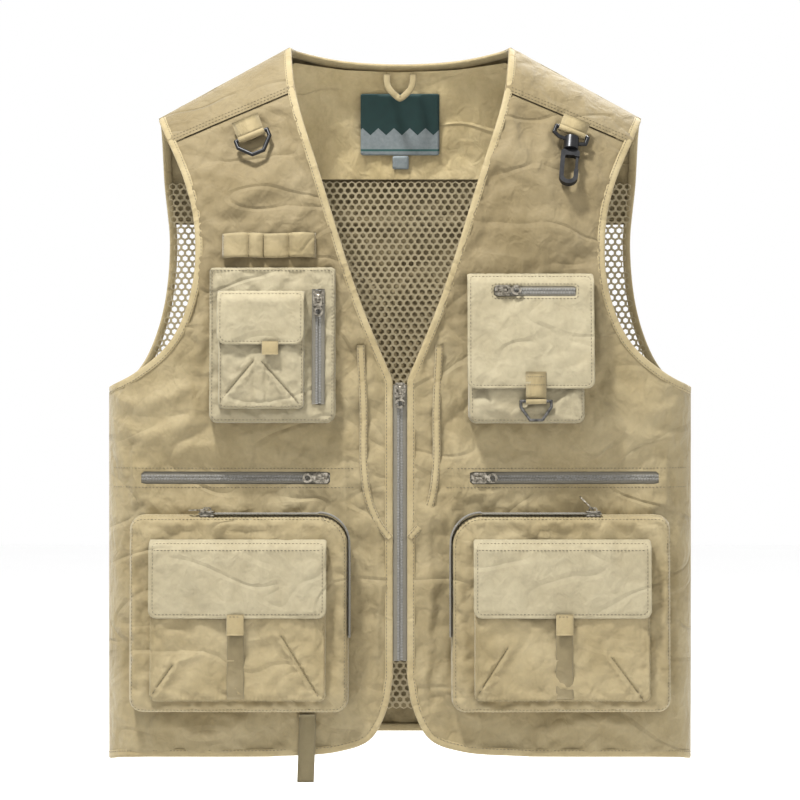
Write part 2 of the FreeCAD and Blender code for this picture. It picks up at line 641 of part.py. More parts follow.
left_slider_place = chain_frame(chest_l_place, left_slider_x, LEFT_ZIP_Y, LEFT_ZIP[2], 0)
keep_slider("left_chest", left_slider_place, left_zip_length - 2 * SLIDER_END)

# Tab on that flap, rolled round the bar of a metal ring.
TAB_X = (-4.0, 17.0)
TAB_Z = (-55.0, -26.0)
TAB_BACK = LEFT_FLAP_FRONT_Y - 0.2
LOOP_INNER = 2.1
LOOP_OUTER = 3.5
tab_loop = Vector(0, -LOOP_OUTER - 0.9, TAB_Z[0])
tab_strip = block(*TAB_X, TAB_BACK - 1.4, TAB_BACK, *TAB_Z)
roll_start = tab_loop + Vector(TAB_X[0], 0, 0)
roll_outer = Part.makeCylinder(LOOP_OUTER, TAB_X[1] - TAB_X[0], roll_start, Vector(1, 0, 0))
roll_inner = Part.makeCylinder(LOOP_INNER, 60, tab_loop + Vector(-30, 0, 0), Vector(1, 0, 0))
flap_clear = block(-60, 60, LEFT_FLAP_FRONT_Y - 0.2, 5, -42.6, 0)
tab_shape = fuse([tab_strip, roll_outer]).cut(roll_inner).cut(flap_clear)
keep("chest_ring_tab", at(tab_shape, chest_l_place))
RING_R = 1.5
ring_points = [(-15, 0), (15, 0), (15, -6), (6, -19), (-6, -19), (-15, -6)]
ring_mid = tab_loop + Vector(sum(TAB_X) / 2, 0, 0)
ring = rod_ring([ring_mid + Vector(x, 0, z) for x, z in ring_points], RING_R)
keep("chest_d_ring", at(ring, chest_l_place))
joint_notes.append(("chest_d_ring", point_of(chest_l_place, *ring_mid), Vector(-1, 0, 0), None))

# Cargo pockets: a deep box with a zip round its top inner corner, a patch pocket and a flap on its face.
CARGO = (-160.5, -130.0, 145.5)
cargo_place = stand(*CARGO, lean=-2.5)
CARGO_HALF_X = 109.5
CARGO_HALF_Z = 99.5
CARGO_CORNER = 30.0
cargo_face = rounded(-CARGO_HALF_X, CARGO_HALF_X, -CARGO_HALF_Z, CARGO_HALF_Z, [14, 14, CARGO_CORNER, 14])
ZIP_BACK = 8.5  # the zip's middle behind the pocket's front face
TOP_SINK = 3.6  # room for a slider below the chain
slot_y = (ZIP_BACK - 6.2, ZIP_BACK + 6.2)
top_slot = block(-45, CARGO_HALF_X - CARGO_CORNER, *slot_y, CARGO_HALF_Z - TOP_SINK, 120)
cargo_box = pocket_block(cargo_face, cargo_place).cut(at(top_slot, cargo_place))
keep("right_cargo_pocket", cargo_box)
keep("left_cargo_pocket", mirrored(cargo_box))
CARGO_PATCH = (-87.5, 86.5, -86.5, 63.5)
cargo_patch = at(patch_pocket(*CARGO_PATCH), cargo_place)
keep("right_cargo_patch_pocket", cargo_patch)
keep("left_cargo_patch_pocket", mirrored(cargo_patch))
cargo_flap_top = CARGO_PATCH[3] + FLAP_RISE
cargo_flap = flap_shape(-88.0, 87.5, -4.0, cargo_flap_top, FLAP_SEAM_Y, FLAP_FRONT_Y, 8, (-1.7, 9.0, -20.5))
cargo_flap = at(cargo_flap, cargo_place)
keep("right_cargo_flap", cargo_flap)
keep("left_cargo_flap", mirrored(cargo_flap))
flap_hinge("right_cargo_flap", cargo_place, 0, FLAP_SEAM_Y, cargo_flap_top)

# Cargo zip: straight along the top, where its slider runs, then round the corner and down the side.
CARGO_ZIP_START = -40.0
straight = CARGO_HALF_X - CARGO_CORNER - CARGO_ZIP_START
straight_middle = CARGO_ZIP_START + straight / 2
cargo_top = CARGO_HALF_Z - TOP_SINK + 3.0  # the chain's middle
top_frame = chain_frame(Placement(), straight_middle, ZIP_BACK, cargo_top, 0, True)
top_zip = at(zip_strip(straight, 6.0), top_frame)
corner_centre = Vector(CARGO_HALF_X - CARGO_CORNER, 0, CARGO_HALF_Z - CARGO_CORNER)
SIDE_ZIP_LOW = -24.5
ring_low, ring_high = CARGO_CORNER + 0.4, CARGO_CORNER + 1.6
bend_band = Part.makeCylinder(ring_high, 12, corner_centre + Vector(0, ZIP_BACK - 6, 0), Vector(0, 1, 0), 360)
bend_hole = Part.makeCylinder(ring_low, 20, corner_centre + Vector(0, ZIP_BACK - 10, 0), Vector(0, 1, 0), 360)
quarter = block(corner_centre.x + 0.3, 130, -20, 30, corner_centre.z, 120)
bend_zip = bend_band.cut(bend_hole).common(quarter)
side_x = (CARGO_HALF_X + 0.4, CARGO_HALF_X + 1.6)
side_zip = block(*side_x, ZIP_BACK - 6, ZIP_BACK + 6, SIDE_ZIP_LOW, corner_centre.z)
cargo_zip = Part.makeCompound([top_zip, fuse([bend_zip, side_zip])])
cargo_zip = at(cargo_zip, cargo_place)
keep("right_cargo_zip", cargo_zip)
keep("left_cargo_zip", mirrored(cargo_zip))
cargo_travel = straight - 2 * SLIDER_END
cargo_slider_x = CARGO_ZIP_START + SLIDER_END
cargo_slider_place = chain_frame(cargo_place, cargo_slider_x, ZIP_BACK, cargo_top, 0, True)
keep("right_cargo_slider", at(slider_shape(), cargo_slider_place))
keep("left_cargo_slider", mirrored(nodes["right_cargo_slider"].translated(ORIGIN)))
cargo_along = cargo_slider_place.Rotation.multVec(Vector(1, 0, 0))
joint_notes.append(("right_cargo_slider", point_of(cargo_slider_place), cargo_along, cargo_travel))
LYING = 178.0  # the wearer's right pull lies back, almost flat
lying = cargo_slider_place.multiply(Placement(Vector(0, -PULL_HEIGHT, 0), Rotation(Vector(0, 0, 1), LYING)))
LIFT = 45.0  # the wearer's left pull stands up from its zip
lifted = cargo_slider_place.multiply(Placement(Vector(0, -PULL_HEIGHT, 0), Rotation(Vector(0, 0, 1), -LIFT)))
keep("right_cargo_pull", at(pull_shape(), lying))
keep("left_cargo_pull", mirrored(at(pull_shape(), lifted)))
joint_notes.append(("right_cargo_pull", point_of(lying), lying.Rotation.multVec(Vector(0, 0, 1)), None))
joint_notes.append(("left_cargo_pull", point_of(lifted), lifted.Rotation.multVec(Vector(0, 0, -1)), None))

# ---------------------------------------------------------------- tool loops, strap and shoulder hardware

# Tool loops: one strip stitched down between four arches that stand off the chest.
LOOP_EDGES = [-46.0, -20.0, -5.5, 20.0, 46.0]
LOOP_WALL = 1.4
LOOP_HEIGHT = 25.0
LOOP_STAND = 8.5
loops_place = stand(-131.0, -FRONT_DEPTH - 0.4, 511.5)


def arch(x0, x1, height):
    """A half-round-topped area in the XY plane, standing towards -Y."""
    middle = (x0 + x1) / 2
    bottom, top = Vector(x0, 0, 0), Vector(x1, 0, 0)
    return [Part.Arc(bottom, Vector(middle, -height, 0), top).toShape(), Part.makeLine(top, bottom)]


strip = [block(LOOP_EDGES[0] - 1.5, LOOP_EDGES[-1] + 1.5, -1.0, 0, 0, LOOP_HEIGHT)]
hollows = []
for x0, x1 in zip(LOOP_EDGES, LOOP_EDGES[1:]):
    outer = Part.Face(Part.Wire(arch(x0 + 0.6, x1 - 0.6, LOOP_STAND)))
    inner = Part.Face(Part.Wire(arch(x0 + 0.6 + LOOP_WALL, x1 - 0.6 - LOOP_WALL, LOOP_STAND - LOOP_WALL)))
    strip.append(outer.extrude(Vector(0, 0, LOOP_HEIGHT)))
    hollows.append(inner.extrude(Vector(0, 0, LOOP_HEIGHT + 2)).translated(Vector(0, 0, -1)))
loops = fuse(strip)
for hollow in hollows:
    loops = loops.cut(hollow)
loops = loops.translated(Vector(0, 0, -LOOP_HEIGHT / 2))
keep("tool_loops", at(loops, loops_place))

# Webbing strap, sewn under the wearer's right cargo pocket and hanging past the hem.
STRAP_X = (-102.0, -85.0)
STRAP_Z = (-25.0, 43.0)
STRAP_THICK = 1.8
strap_y = -FRONT_DEPTH - BINDING_PROUD - 1.2
keep("webbing_strap", block(*STRAP_X, strap_y - STRAP_THICK, strap_y, *STRAP_Z))
strap_hinge = Vector(sum(STRAP_X) / 2, strap_y - STRAP_THICK / 2, STRAP_Z[1])
joint_notes.append(("webbing_strap", strap_hinge, Vector(-1, 0, 0), None))


def on_surface(x, z, out):
    """A point that lies out in front of the cloth at x, z."""
    return Vector(x, surface_y(x, z) - out, z)


YOKE_ROLL = 22.0  # slope of the yoke seam on the wearer's right
TAB_HALF = 14.5
TAB_LENGTH = 22.0


def shoulder_tab(place, length):
    """A folded cloth tab, flat on the cloth, rolled round a bar at its foot, which is the frame's origin."""
    strip_part = block(-TAB_HALF, TAB_HALF, -1.0, 1.0, 3.4, length)
    roll_out = Part.makeCylinder(3.9, 2 * TAB_HALF, Vector(-TAB_HALF, 0, 0), Vector(1, 0, 0))
    roll_in = Part.makeCylinder(2.6, 60, Vector(-30, 0, 0), Vector(1, 0, 0))
    neck_part = block(-TAB_HALF, TAB_HALF, -1.0, 1.0, 2.8, 4.0)
    return at(fuse([strip_part, neck_part, roll_out]).cut(roll_in), place)


def shoulder_frame(x, z, roll, out):
    """A frame in front of the cloth at x, z. Its Z lies up the cloth, square to the yoke seam."""
    angle = math.radians(roll)
    up = Vector(-math.sin(angle), 0, math.cos(angle))
    low = on_surface(x - up.x * 12, z - up.z * 12, out)
    high = on_surface(x + up.x * 16, z + up.z * 16, out)
    z_axis = (high - low).normalize()
    across = Vector(math.cos(angle), 0, math.sin(angle))
    y_axis = z_axis.cross(across).normalize()
    x_axis = y_axis.cross(z_axis)
    origin = on_surface(x, z, out)
    turn = Rotation(x_axis, y_axis, z_axis, "ZYX")
    return Placement(origin, turn)


ring_place = shoulder_frame(-150.0, 624.0, YOKE_ROLL, 5.0)
hook_place = shoulder_frame(174.0, 628.0, -YOKE_ROLL, 9.5)
tabs = [shoulder_tab(ring_place, TAB_LENGTH), shoulder_tab(hook_place, TAB_LENGTH - 4)]
cloth_clear = shell(-CLOTH, 0.25)
tabs = [tab.cut(cloth_clear) for tab in tabs]
keep("shoulder_tabs", Part.makeCompound(tabs))

D_RING_R = 2.0
d_points = [(-17, 0), (17, 0), (17, -8), (6, -21), (-6, -21), (-17, -8)]
d_ring = rod_ring([Vector(x, 0, z) for x, z in d_points], D_RING_R)
keep("shoulder_d_ring", at(d_ring, ring_place))
ring_axis = ring_place.Rotation.multVec(Vector(-1, 0, 0))
joint_notes.append(("shoulder_d_ring", point_of(ring_place), ring_axis, None))

# Snap hook: an eye on the tab, a barrel below it, and a hook that swivels in the barrel.
BARREL_R = 7.6
BARREL_TOP = -7.5
BARREL_LENGTH = 14.0
STEM_R = 2.6
HEAD_R = 4.4
eye_points = [(-17, 0), (17, 0), (17, -8), (11, -11), (-11, -11), (-17, -8)]
eye_loop = rod_ring([Vector(x, 0, z) for x, z in eye_points], D_RING_R)
barrel_base = Vector(0, 0, BARREL_TOP - BARREL_LENGTH)
barrel = Part.makeCylinder(BARREL_R, BARREL_LENGTH, barrel_base, Vector(0, 0, 1))
head_room = Part.makeCylinder(HEAD_R + 0.4, 6.8, barrel_base + Vector(0, 0, 3), Vector(0, 0, 1))
stem_room = Part.makeCylinder(STEM_R + 0.4, 8, barrel_base - Vector(0, 0, 4), Vector(0, 0, 1))
# The hook lies straight down from the tab, so its frame has no roll.
hook_top = point_of(hook_place)
hook_low = on_surface(168.0, 574.0, 15.5)
down = (hook_low - hook_top).normalize()
hook_x = Vector(1, 0, 0)
hook_y = hook_x.cross(down).normalize()
hook_y = -hook_y if hook_y.y < 0 else hook_y
hook_frame = Placement(hook_top, Rotation(hook_y.cross(-down), hook_y, -down, "ZYX"))
eye = fuse([at(eye_loop, hook_place), at(barrel, hook_frame)])
keep("hook_eye", eye.cut(at(head_room, hook_frame)).cut(at(stem_room, hook_frame)))
joint_notes.append(("hook_eye", hook_top, hook_place.Rotation.multVec(Vector(-1, 0, 0)), None))

HOOK_TOP = BARREL_TOP - BARREL_LENGTH - 0.5
HOOK_HALF = 9.4
HOOK_LOW = -62.0
HOOK_THICK = 6.0
stem = Part.makeCylinder(STEM_R, 4.6, Vector(0, 0, HOOK_TOP - 0.5), Vector(0, 0, 1))
head = Part.makeCylinder(HEAD_R, 5.4, Vector(0, 0, HOOK_TOP + 4.1), Vector(0, 0, 1))
hook_out = rounded(-HOOK_HALF, HOOK_HALF, HOOK_LOW, HOOK_TOP, [HOOK_HALF - 0.1, HOOK_HALF - 0.1, 4, 4])
hook_in = rounded(-HOOK_HALF + 4.4, HOOK_HALF - 4.4, HOOK_LOW + 4.6, HOOK_TOP - 7, [4.9, 4.9, 2, 2])
GATE_TOP = HOOK_TOP - 8.0
TIP_Z = HOOK_LOW + 17.0
mouth = polygon([(HOOK_HALF - 4.5, TIP_Z), (20, TIP_Z), (20, GATE_TOP), (HOOK_HALF - 4.5, GATE_TOP)])
hook_plate = through(hook_out.cut(hook_in).cut(mouth), -HOOK_THICK / 2, HOOK_THICK / 2)
keep("hook_body", at(fuse([hook_plate, stem, head]), hook_frame))
joint_notes.append(("hook_body", hook_top, -down, None))
gate_face = rounded(HOOK_HALF - 3.6, HOOK_HALF - 0.8, TIP_Z + 0.6, GATE_TOP - 0.6, [1, 1, 1, 1])
gate = through(gate_face, -2, 2)
keep("hook_gate", at(gate, hook_frame))
gate_pivot = point_of(hook_frame, HOOK_HALF - 2.2, 0, GATE_TOP - 0.6)
joint_notes.append(("hook_gate", gate_pivot, hook_frame.Rotation.multVec(Vector(0, 1, 0)), None))

# ---------------------------------------------------------------- output

for name, shape in nodes.items():
    if not shape.isValid() or shape.Volume <= 0:
        print("CHECK", name, shape.isValid(), shape.Volume)
    shape.exportStep("parts/" + name + ".step")
print(len(nodes), "nodes")
for name, place, axis, travel in joint_notes:
    here = (place - ORIGIN) / 1000
    print(name, [round(v, 5) for v in here], [round(v, 5) for v in axis], travel)
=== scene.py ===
import json
import math

import bpy
import numpy as np
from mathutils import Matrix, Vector, noise
from mathutils.bvhtree import BVHTree
from mathutils.geometry import delaunay_2d_cdt

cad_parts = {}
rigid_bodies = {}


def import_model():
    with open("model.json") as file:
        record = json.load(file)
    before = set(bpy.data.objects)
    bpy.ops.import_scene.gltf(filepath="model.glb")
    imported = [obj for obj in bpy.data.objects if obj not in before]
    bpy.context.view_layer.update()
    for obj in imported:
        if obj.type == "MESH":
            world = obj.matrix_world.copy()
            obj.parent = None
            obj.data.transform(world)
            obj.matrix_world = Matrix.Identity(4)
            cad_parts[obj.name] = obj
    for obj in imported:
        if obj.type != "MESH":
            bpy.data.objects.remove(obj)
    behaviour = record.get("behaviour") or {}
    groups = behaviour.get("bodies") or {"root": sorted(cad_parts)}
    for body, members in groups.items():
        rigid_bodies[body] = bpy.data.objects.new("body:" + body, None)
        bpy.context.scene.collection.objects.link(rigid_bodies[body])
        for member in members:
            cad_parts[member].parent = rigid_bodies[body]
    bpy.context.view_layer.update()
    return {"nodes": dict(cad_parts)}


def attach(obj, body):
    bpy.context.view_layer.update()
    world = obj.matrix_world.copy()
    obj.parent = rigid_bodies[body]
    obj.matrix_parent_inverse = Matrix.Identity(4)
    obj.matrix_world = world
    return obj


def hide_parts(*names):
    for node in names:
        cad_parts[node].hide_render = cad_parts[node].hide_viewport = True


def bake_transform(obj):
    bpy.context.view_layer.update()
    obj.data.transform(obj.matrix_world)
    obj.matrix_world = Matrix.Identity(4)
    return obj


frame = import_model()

# The vest is laid out in millimetres with its hem at Z = 0, its side seams at Y = 0 and its middle at
# X = 0, as in the CAD, and row() moves that to the row frame. -Y is the front and +X the wearer's left.
ORIGIN = np.array((0.0, 45.0, 690.0))
HALF, FRONT, BACK, POWER, DROP = 299.0, 105.0, 95.0, 5.0, 250.0
NECK = (113.6, 724.0)
SLOPE = (724.0 - 649.0) / (251.0 - 113.6)
WAIST_Z = 279.0  # height of the waist zips
PATCH_X = 160.5  # middle of the cargo pockets' patch pockets
WORDS = {-1: "right", 1: "left"}  # the wearer's sides, by the sign of X
nodes = frame["nodes"]


def row(points):
    return (np.asarray(points, float) - ORIGIN) / 1000


def ridge(x):
    x = np.abs(x)
    return np.where(x > NECK[0], NECK[1] - SLOPE * (x - NECK[0]),
        NECK[1] + SLOPE * NECK[0] / 2 * (1 - (x / NECK[0]) ** 2))


def plan(x):
    return np.maximum(0.0, 1 - (np.minimum(np.abs(x), HALF) / HALF) ** POWER) ** (1 / POWER)


def surface_y(x, z, front=True):
    """Y of the cloth's outer face at x, z."""
    fall = np.clip((ridge(x) - z) / DROP, 0, 1)
    return (-FRONT if front else BACK) * np.sqrt(np.maximum(0, 1 - (1 - fall) ** 2)) * plan(x)


class Shell:
    """One half of the vest's surface, unrolled: u runs round the body and v up it, in millimetres."""

    def __init__(self, front):
        self.sign, self.depth = (-1, FRONT) if front else (1, BACK)
        self.front = front
        xs = HALF * np.sin(np.linspace(0, math.pi / 2, 1500))
        ys = self.depth * plan(xs)
        self.xs = xs
        self.us = np.concatenate([[0], np.cumsum(np.hypot(np.diff(xs), np.diff(ys)))])
        a = np.linspace(math.pi / 2, 0, 500)
        step = np.hypot(DROP * np.sin(a), self.depth * np.cos(a)) * (a[0] - a[1])
        self.rise = np.concatenate([[0], np.cumsum((step[1:] + step[:-1]) / 2)])
        self.angle = a

    def uv(self, points):
        """x, z on the cloth to u, v."""
        p = np.asarray(points, float)
        x, z = p[:, 0], p[:, 1]
        u = np.sign(x) * np.interp(np.abs(x), self.xs, self.us)
        chest = ridge(x) - DROP
        a = np.arccos(np.clip(1 - (ridge(x) - z) / DROP, 0, 1))
        up = chest + np.interp(-a, -self.angle, self.rise)
        return np.stack([u, np.where(z > chest, up, z)], 1)

    def at(self, uv):
        u, v = uv[:, 0], uv[:, 1]
        x = np.sign(u) * np.interp(np.abs(u), self.us, self.xs)
        chest = ridge(x) - DROP
        a = np.interp(v - chest, self.rise, self.angle)
        z = np.where(v > chest, ridge(x) - DROP * (1 - np.cos(a)), v)
        y = self.sign * self.depth * plan(x) * np.where(v > chest, np.sin(a), 1)
        return np.stack([x, y, z], 1)

    def normal(self, uv):
        d = 0.6
        du = self.at(uv + (d, 0)) - self.at(uv - (d, 0))
        dv = self.at(uv + (0, d)) - self.at(uv - (0, d))
        n = np.cross(du, dv) * self.sign
        n /= np.maximum(1e-9, np.linalg.norm(n, axis=1))[:, None]
        n[n[:, 1] * self.sign < 0] *= -1
        return n


front_shell, back_shell = Shell(True), Shell(False)

# ---------------------------------------------------------------- curves and areas


def run_of(points):
    """Length along a polyline up to each of its points."""
    return np.concatenate([[0], np.cumsum(np.linalg.norm(np.diff(points, axis=0), axis=1))])


def tangents(points):
    t = np.gradient(points, axis=0)
    t /= np.linalg.norm(t, axis=1)[:, None]
    return t


def smooth(points, step=4.0):
    """A smooth curve through points, as a list of points about step apart."""
    p = np.asarray(points, float)
    p = np.vstack([2 * p[0] - p[1], p, 2 * p[-1] - p[-2]])
    out = []
    for k in range(1, len(p) - 2):
        a, b, c, d = p[k - 1], p[k], p[k + 1], p[k + 2]
        t0 = 0.0
        t1 = t0 + np.linalg.norm(b - a) ** 0.5
        t2 = t1 + np.linalg.norm(c - b) ** 0.5
        t3 = t2 + np.linalg.norm(d - c) ** 0.5
        count = max(2, int(np.linalg.norm(c - b) / step))
        for t in np.linspace(t1, t2, count, endpoint=False):
            ab = (t1 - t) / (t1 - t0) * a + (t - t0) / (t1 - t0) * b
            bc = (t2 - t) / (t2 - t1) * b + (t - t1) / (t2 - t1) * c
            cd = (t3 - t) / (t3 - t2) * c + (t - t2) / (t3 - t2) * d
            abc = (t2 - t) / (t2 - t0) * ab + (t - t0) / (t2 - t0) * bc
            bcd = (t3 - t) / (t3 - t1) * bc + (t - t1) / (t3 - t1) * cd
            out.append((t2 - t) / (t2 - t1) * abc + (t - t1) / (t2 - t1) * bcd)
    return np.array(out + [p[-2]])


def along(points, step):
    """The polyline's points, spaced evenly about step apart."""
    p = np.asarray(points, float)
    run = run_of(p)
    count = max(2, int(round(run[-1] / step)) + 1)
    at = np.linspace(0, run[-1], count)
    return np.stack([np.interp(at, run, p[:, k]) for k in range(p.shape[1])], 1)


def joined(*runs):
    out = [runs[0]]
    for r in runs[1:]:
        out.append(np.asarray(r)[1:])
    return np.vstack(out)


def closed(*runs, step=5.0):
    """A closed loop from runs that each start where the last one ends."""
    loop = joined(*[along(r, step) for r in runs])
    return loop[:-1] if np.linalg.norm(loop[0] - loop[-1]) < 1e-6 else loop


def rounded(x0, x1, z0, z1, radii, step=3.0):
    """A rectangle's outline with corner radii: low left, low right, high right, high left."""
    out = []
    for k, (cx, cz, start) in enumerate(((x0, z0, 180), (x1, z0, 270), (x1, z1, 0), (x0, z1, 90))):
        r = max(radii[k], 0.01)
        mx, mz = cx + (r if cx == x0 else -r), cz + (r if cz == z0 else -r)
        for t in np.radians(np.linspace(start, start + 90, 7)):
            out.append((mx + r * math.cos(t), mz + r * math.sin(t)))
    out.append(out[0])
    return along(out, step)[:-1]


def inside(points, loop):
    """Which points lie inside a closed loop."""
    x, y = points[:, 0][:, None], points[:, 1][:, None]
    a, b = loop, np.roll(loop, -1, 0)
    crosses = (a[:, 1] > y) != (b[:, 1] > y)
    with np.errstate(divide="ignore", invalid="ignore"):
        at = a[:, 0] + (y - a[:, 1]) / (b[:, 1] - a[:, 1]) * (b[:, 0] - a[:, 0])
    return (np.sum(crosses & (x < at), 1) % 2).astype(bool)


def away(points, line, loop=False):
    """Distance from each point to a polyline."""
    a = np.asarray(line, float)
    b = np.roll(a, -1, 0) if loop else a[1:]
    a = a if loop else a[:-1]
    d = b - a
    best = np.full(len(points), 1e9)
    for p0, dd in zip(a, d):
        t = np.clip(((points - p0) @ dd) / max(1e-9, dd @ dd), 0, 1)
        best = np.minimum(best, np.linalg.norm(points - p0 - t[:, None] * dd, axis=1))
    return best


def fill(loop, step, holes=(), rings=()):
    """Points and triangles that fill a closed 2D loop. rings are further points to include."""
    pts, edges = [], []
    for ring in (loop, *holes):
        first = len(pts)
        pts += [tuple(p) for p in ring]
        edges += [(first + k, first + (k + 1) % len(ring)) for k in range(len(ring))]
    lo, hi = loop.min(0), loop.max(0)
    xs = np.arange(lo[0] + step / 2, hi[0], step)
    zs = np.arange(lo[1] + step / 2, hi[1], step * 0.866)
    grid = np.array([(x + (step / 2 if j % 2 else 0), z) for j, z in enumerate(zs) for x in xs])
    keep = inside(grid, loop) & (away(grid, loop, True) > step * 0.45)
    for hole in holes:
        keep &= ~inside(grid, hole) & (away(grid, hole, True) > step * 0.45)
    for ring in rings:
        keep &= away(grid, ring, True) > step * 0.45
        pts += [tuple(p) for p in ring]
    pts += [tuple(p) for p in grid[keep]]
    verts, _, faces, *_ = delaunay_2d_cdt([Vector(p) for p in pts], edges, [], 0, 1e-4)
    verts = np.array([tuple(v) for v in verts])
    faces = np.array(faces)
    middle = verts[faces].mean(1)
    good = inside(middle, loop)
    for hole in holes:
        good &= ~inside(middle, hole)
    a, b, c = (verts[faces[:, k]] for k in range(3))
    turn = (b - a)[:, 0] * (c - a)[:, 1] - (b - a)[:, 1] * (c - a)[:, 0]
    good &= np.abs(turn) > 1e-3
    return verts, faces[good]


def wave(points, size, seed=0.0, stretch=(1.0, 1.0), octaves=2):
    """Smooth noise about -1 to 1 over 2D points in millimetres."""
    sx, sz = size * stretch[0], size * stretch[1]
    return np.array([noise.fractal(Vector((p[0] / sx, p[1] / sz, seed)), 0.9, 2.0,
        octaves) for p in points])


def ease(t):
    t = np.clip(t, 0, 1)
    return t * t * (3 - 2 * t)


# ---------------------------------------------------------------- materials


class Nodes:
    """Short names for building a node material."""

    def __init__(self, name):
        self.mat = bpy.data.materials.new(name)
        self.mat.use_nodes = True
        self.tree = self.mat.node_tree
        self.bsdf = self.tree.nodes["Principled BSDF"]
        self.coord = self.tree.nodes.new("ShaderNodeTexCoord")

    def add(self, kind, links=(), **values):
        node = self.tree.nodes.new("ShaderNode" + kind)
        for key, value in values.items():
            if key in node.inputs:
                node.inputs[key].default_value = value
            else:
                setattr(node, key, value)
        for key, socket in dict(links).items():
            self.tree.links.new(socket, node.inputs[key])
        return node

    def noise(self, size, detail=3.0, rough=0.55, space="UV", stretch=(1, 1, 1), twist=0.0):
        mapping = self.add("Mapping", {"Vector": self.coord.outputs[space]})
        k = 1.0 / size
        mapping.inputs["Scale"].default_value = (k / stretch[0], k / stretch[1], k / stretch[2])
        out = self.add("TexNoise", {"Vector": mapping.outputs[0]}, Scale=1.0, Detail=detail,
            Roughness=rough, Distortion=twist)
        return out.outputs["Fac"]

    def wave(self, size, axis, space="UV", twist=0.0):
        mapping = self.add("Mapping", {"Vector": self.coord.outputs[space]})
        mapping.inputs["Scale"].default_value = (1 / size,) * 3
        out = self.add("TexWave", {"Vector": mapping.outputs[0]}, Scale=0.3183, Distortion=twist,
            bands_direction=axis)
        return out.outputs["Fac"]

    def math(self, operation, a, b=0.5, c=0.5):
        node = self.tree.nodes.new("ShaderNodeMath")
        node.operation = operation
        for k, value in enumerate((a, b, c)):
            if isinstance(value, (int, float)):
                node.inputs[k].default_value = value
            else:
                self.tree.links.new(value, node.inputs[k])
        return node.outputs[0]

    def ramp(self, factor, stops):
        node = self.add("ValToRGB", {"Fac": factor})
        ramp = node.color_ramp
        while len(ramp.elements) < len(stops):
            ramp.elements.new(0.5)
        for element, (place, colour) in zip(ramp.elements, stops):
            element.position = place
            element.color = (*colour, 1)
        return node.outputs[0]

    def mix(self, factor, a, b, blend="MIX"):
        node = self.tree.nodes.new("ShaderNodeMix")
        node.data_type = "RGBA"
        node.blend_type = blend
        for key, value in ((0, factor), (6, a), (7, b)):
            if isinstance(value, (int, float)):
                node.inputs[key].default_value = value
            elif isinstance(value, tuple):
                node.inputs[key].default_value = (*value, 1)
            else:
                self.tree.links.new(value, node.inputs[key])
        return node.outputs[2]

    def finish(self, colour, height=None, strength=0.3, distance=0.001, rough=0.8, **values):
        for key, value in (("Base Color", colour), ("Roughness", rough)):
            if isinstance(value, (int, float)):
                self.bsdf.inputs[key].default_value = value
            elif isinstance(value, tuple):
                self.bsdf.inputs[key].default_value = (*value, 1)
            else:
                self.tree.links.new(value, self.bsdf.inputs[key])
        for key, value in values.items():
            self.bsdf.inputs[key.replace("_", " ")].default_value = value
        if height is not None:
            bump = self.add("Bump", {"Height": height}, Strength=strength, Distance=distance)
            self.tree.links.new(bump.outputs[0], self.bsdf.inputs["Normal"])
        return self.mat


def cloth_material(name, dark, mid, light, crease=1.0, space="UV", painted_upper_shade=None):
    """Crisp light woven cloth: colour that varies in soft patches, fine creases and a plain weave, with
    painted shade darkening the fold hollows and, when asked, painted shade darkening the upper part.
    """
    n = Nodes(name)
    patches = n.noise(0.07, 4, 0.55, space)
    fine = n.noise(0.006, 3, 0.6, space)
    colour = n.ramp(patches, ((0.3, dark), (0.5, mid), (0.72, light)))
    speck = n.ramp(fine, ((0.35, (0.86, 0.86, 0.86)), (0.65, (1.0, 1.0, 1.0))))
    colour = n.mix(0.55, colour, speck, "MULTIPLY")
    # Painted shade: the colour darkens from 390 mm up to its full depth at 490 mm, so the upper part looks
    # shaded.
    if painted_upper_shade:
        split = n.add("SeparateXYZ", {"Vector": n.coord.outputs["Object"]})
        height = n.add("MapRange", {"Value": split.outputs[2]})
        for key, value in zip(("From Min", "From Max", "To Min", "To Max"), (-0.30, -0.20, 0.0, 1.0)):
            height.inputs[key].default_value = value
        colour = n.mix(height.outputs[0], colour, n.mix(1.0, colour, painted_upper_shade, "MULTIPLY"))
    warp, weft = n.wave(0.00062, "X", space), n.wave(0.00062, "Y", space)
    weave = n.math("MAXIMUM", warp, weft)
    colour = n.mix(0.16, colour, n.ramp(weave, ((0.0, (0.62, 0.6, 0.55)), (0.7, (1, 1, 1)))), "MULTIPLY")
    folds = n.noise(0.055, 2, 0.45, space, (1, 1.6, 1), 0.6)
    ridges = n.noise(0.075, 1, 0.4, space, (1.8, 1, 1), 1.0)
    ridges = n.math("MINIMUM", n.math("ABSOLUTE", n.math("SUBTRACT", ridges, 0.5)), 0.05)
    small = n.noise(0.013, 2, 0.5, space, (1, 1.3, 1), 0.5)
    # Painted shade: the colour is darkened in the hollows of the bump's folds and small creases, so the
    # valleys read as shaded.
    painted_fold_shade = n.ramp(folds, ((0.36, (0.74, 0.70, 0.62)), (0.56, (1.0, 1.0, 1.0))))
    colour = n.mix(0.2, colour, painted_fold_shade, "MULTIPLY")
    painted_fold_shade = n.ramp(small, ((0.32, (0.84, 0.82, 0.77)), (0.5, (1.0, 1.0, 1.0))))
    colour = n.mix(0.2, colour, painted_fold_shade, "MULTIPLY")
    height = n.math("MULTIPLY_ADD", folds, 4.6 * crease, n.math("MULTIPLY", small, 1.5 * crease))
    height = n.math("MULTIPLY_ADD", ridges, 13.0 * crease, height)
    height = n.math("MULTIPLY_ADD", weave, 0.03, height)
    return n.finish(
        colour, height, 0.8, 0.0024, n.math("MULTIPLY_ADD", fine, 0.2, 0.62),
        Sheen_Weight=0.18, Sheen_Roughness=0.45, Specular_IOR_Level=0.32,
    )


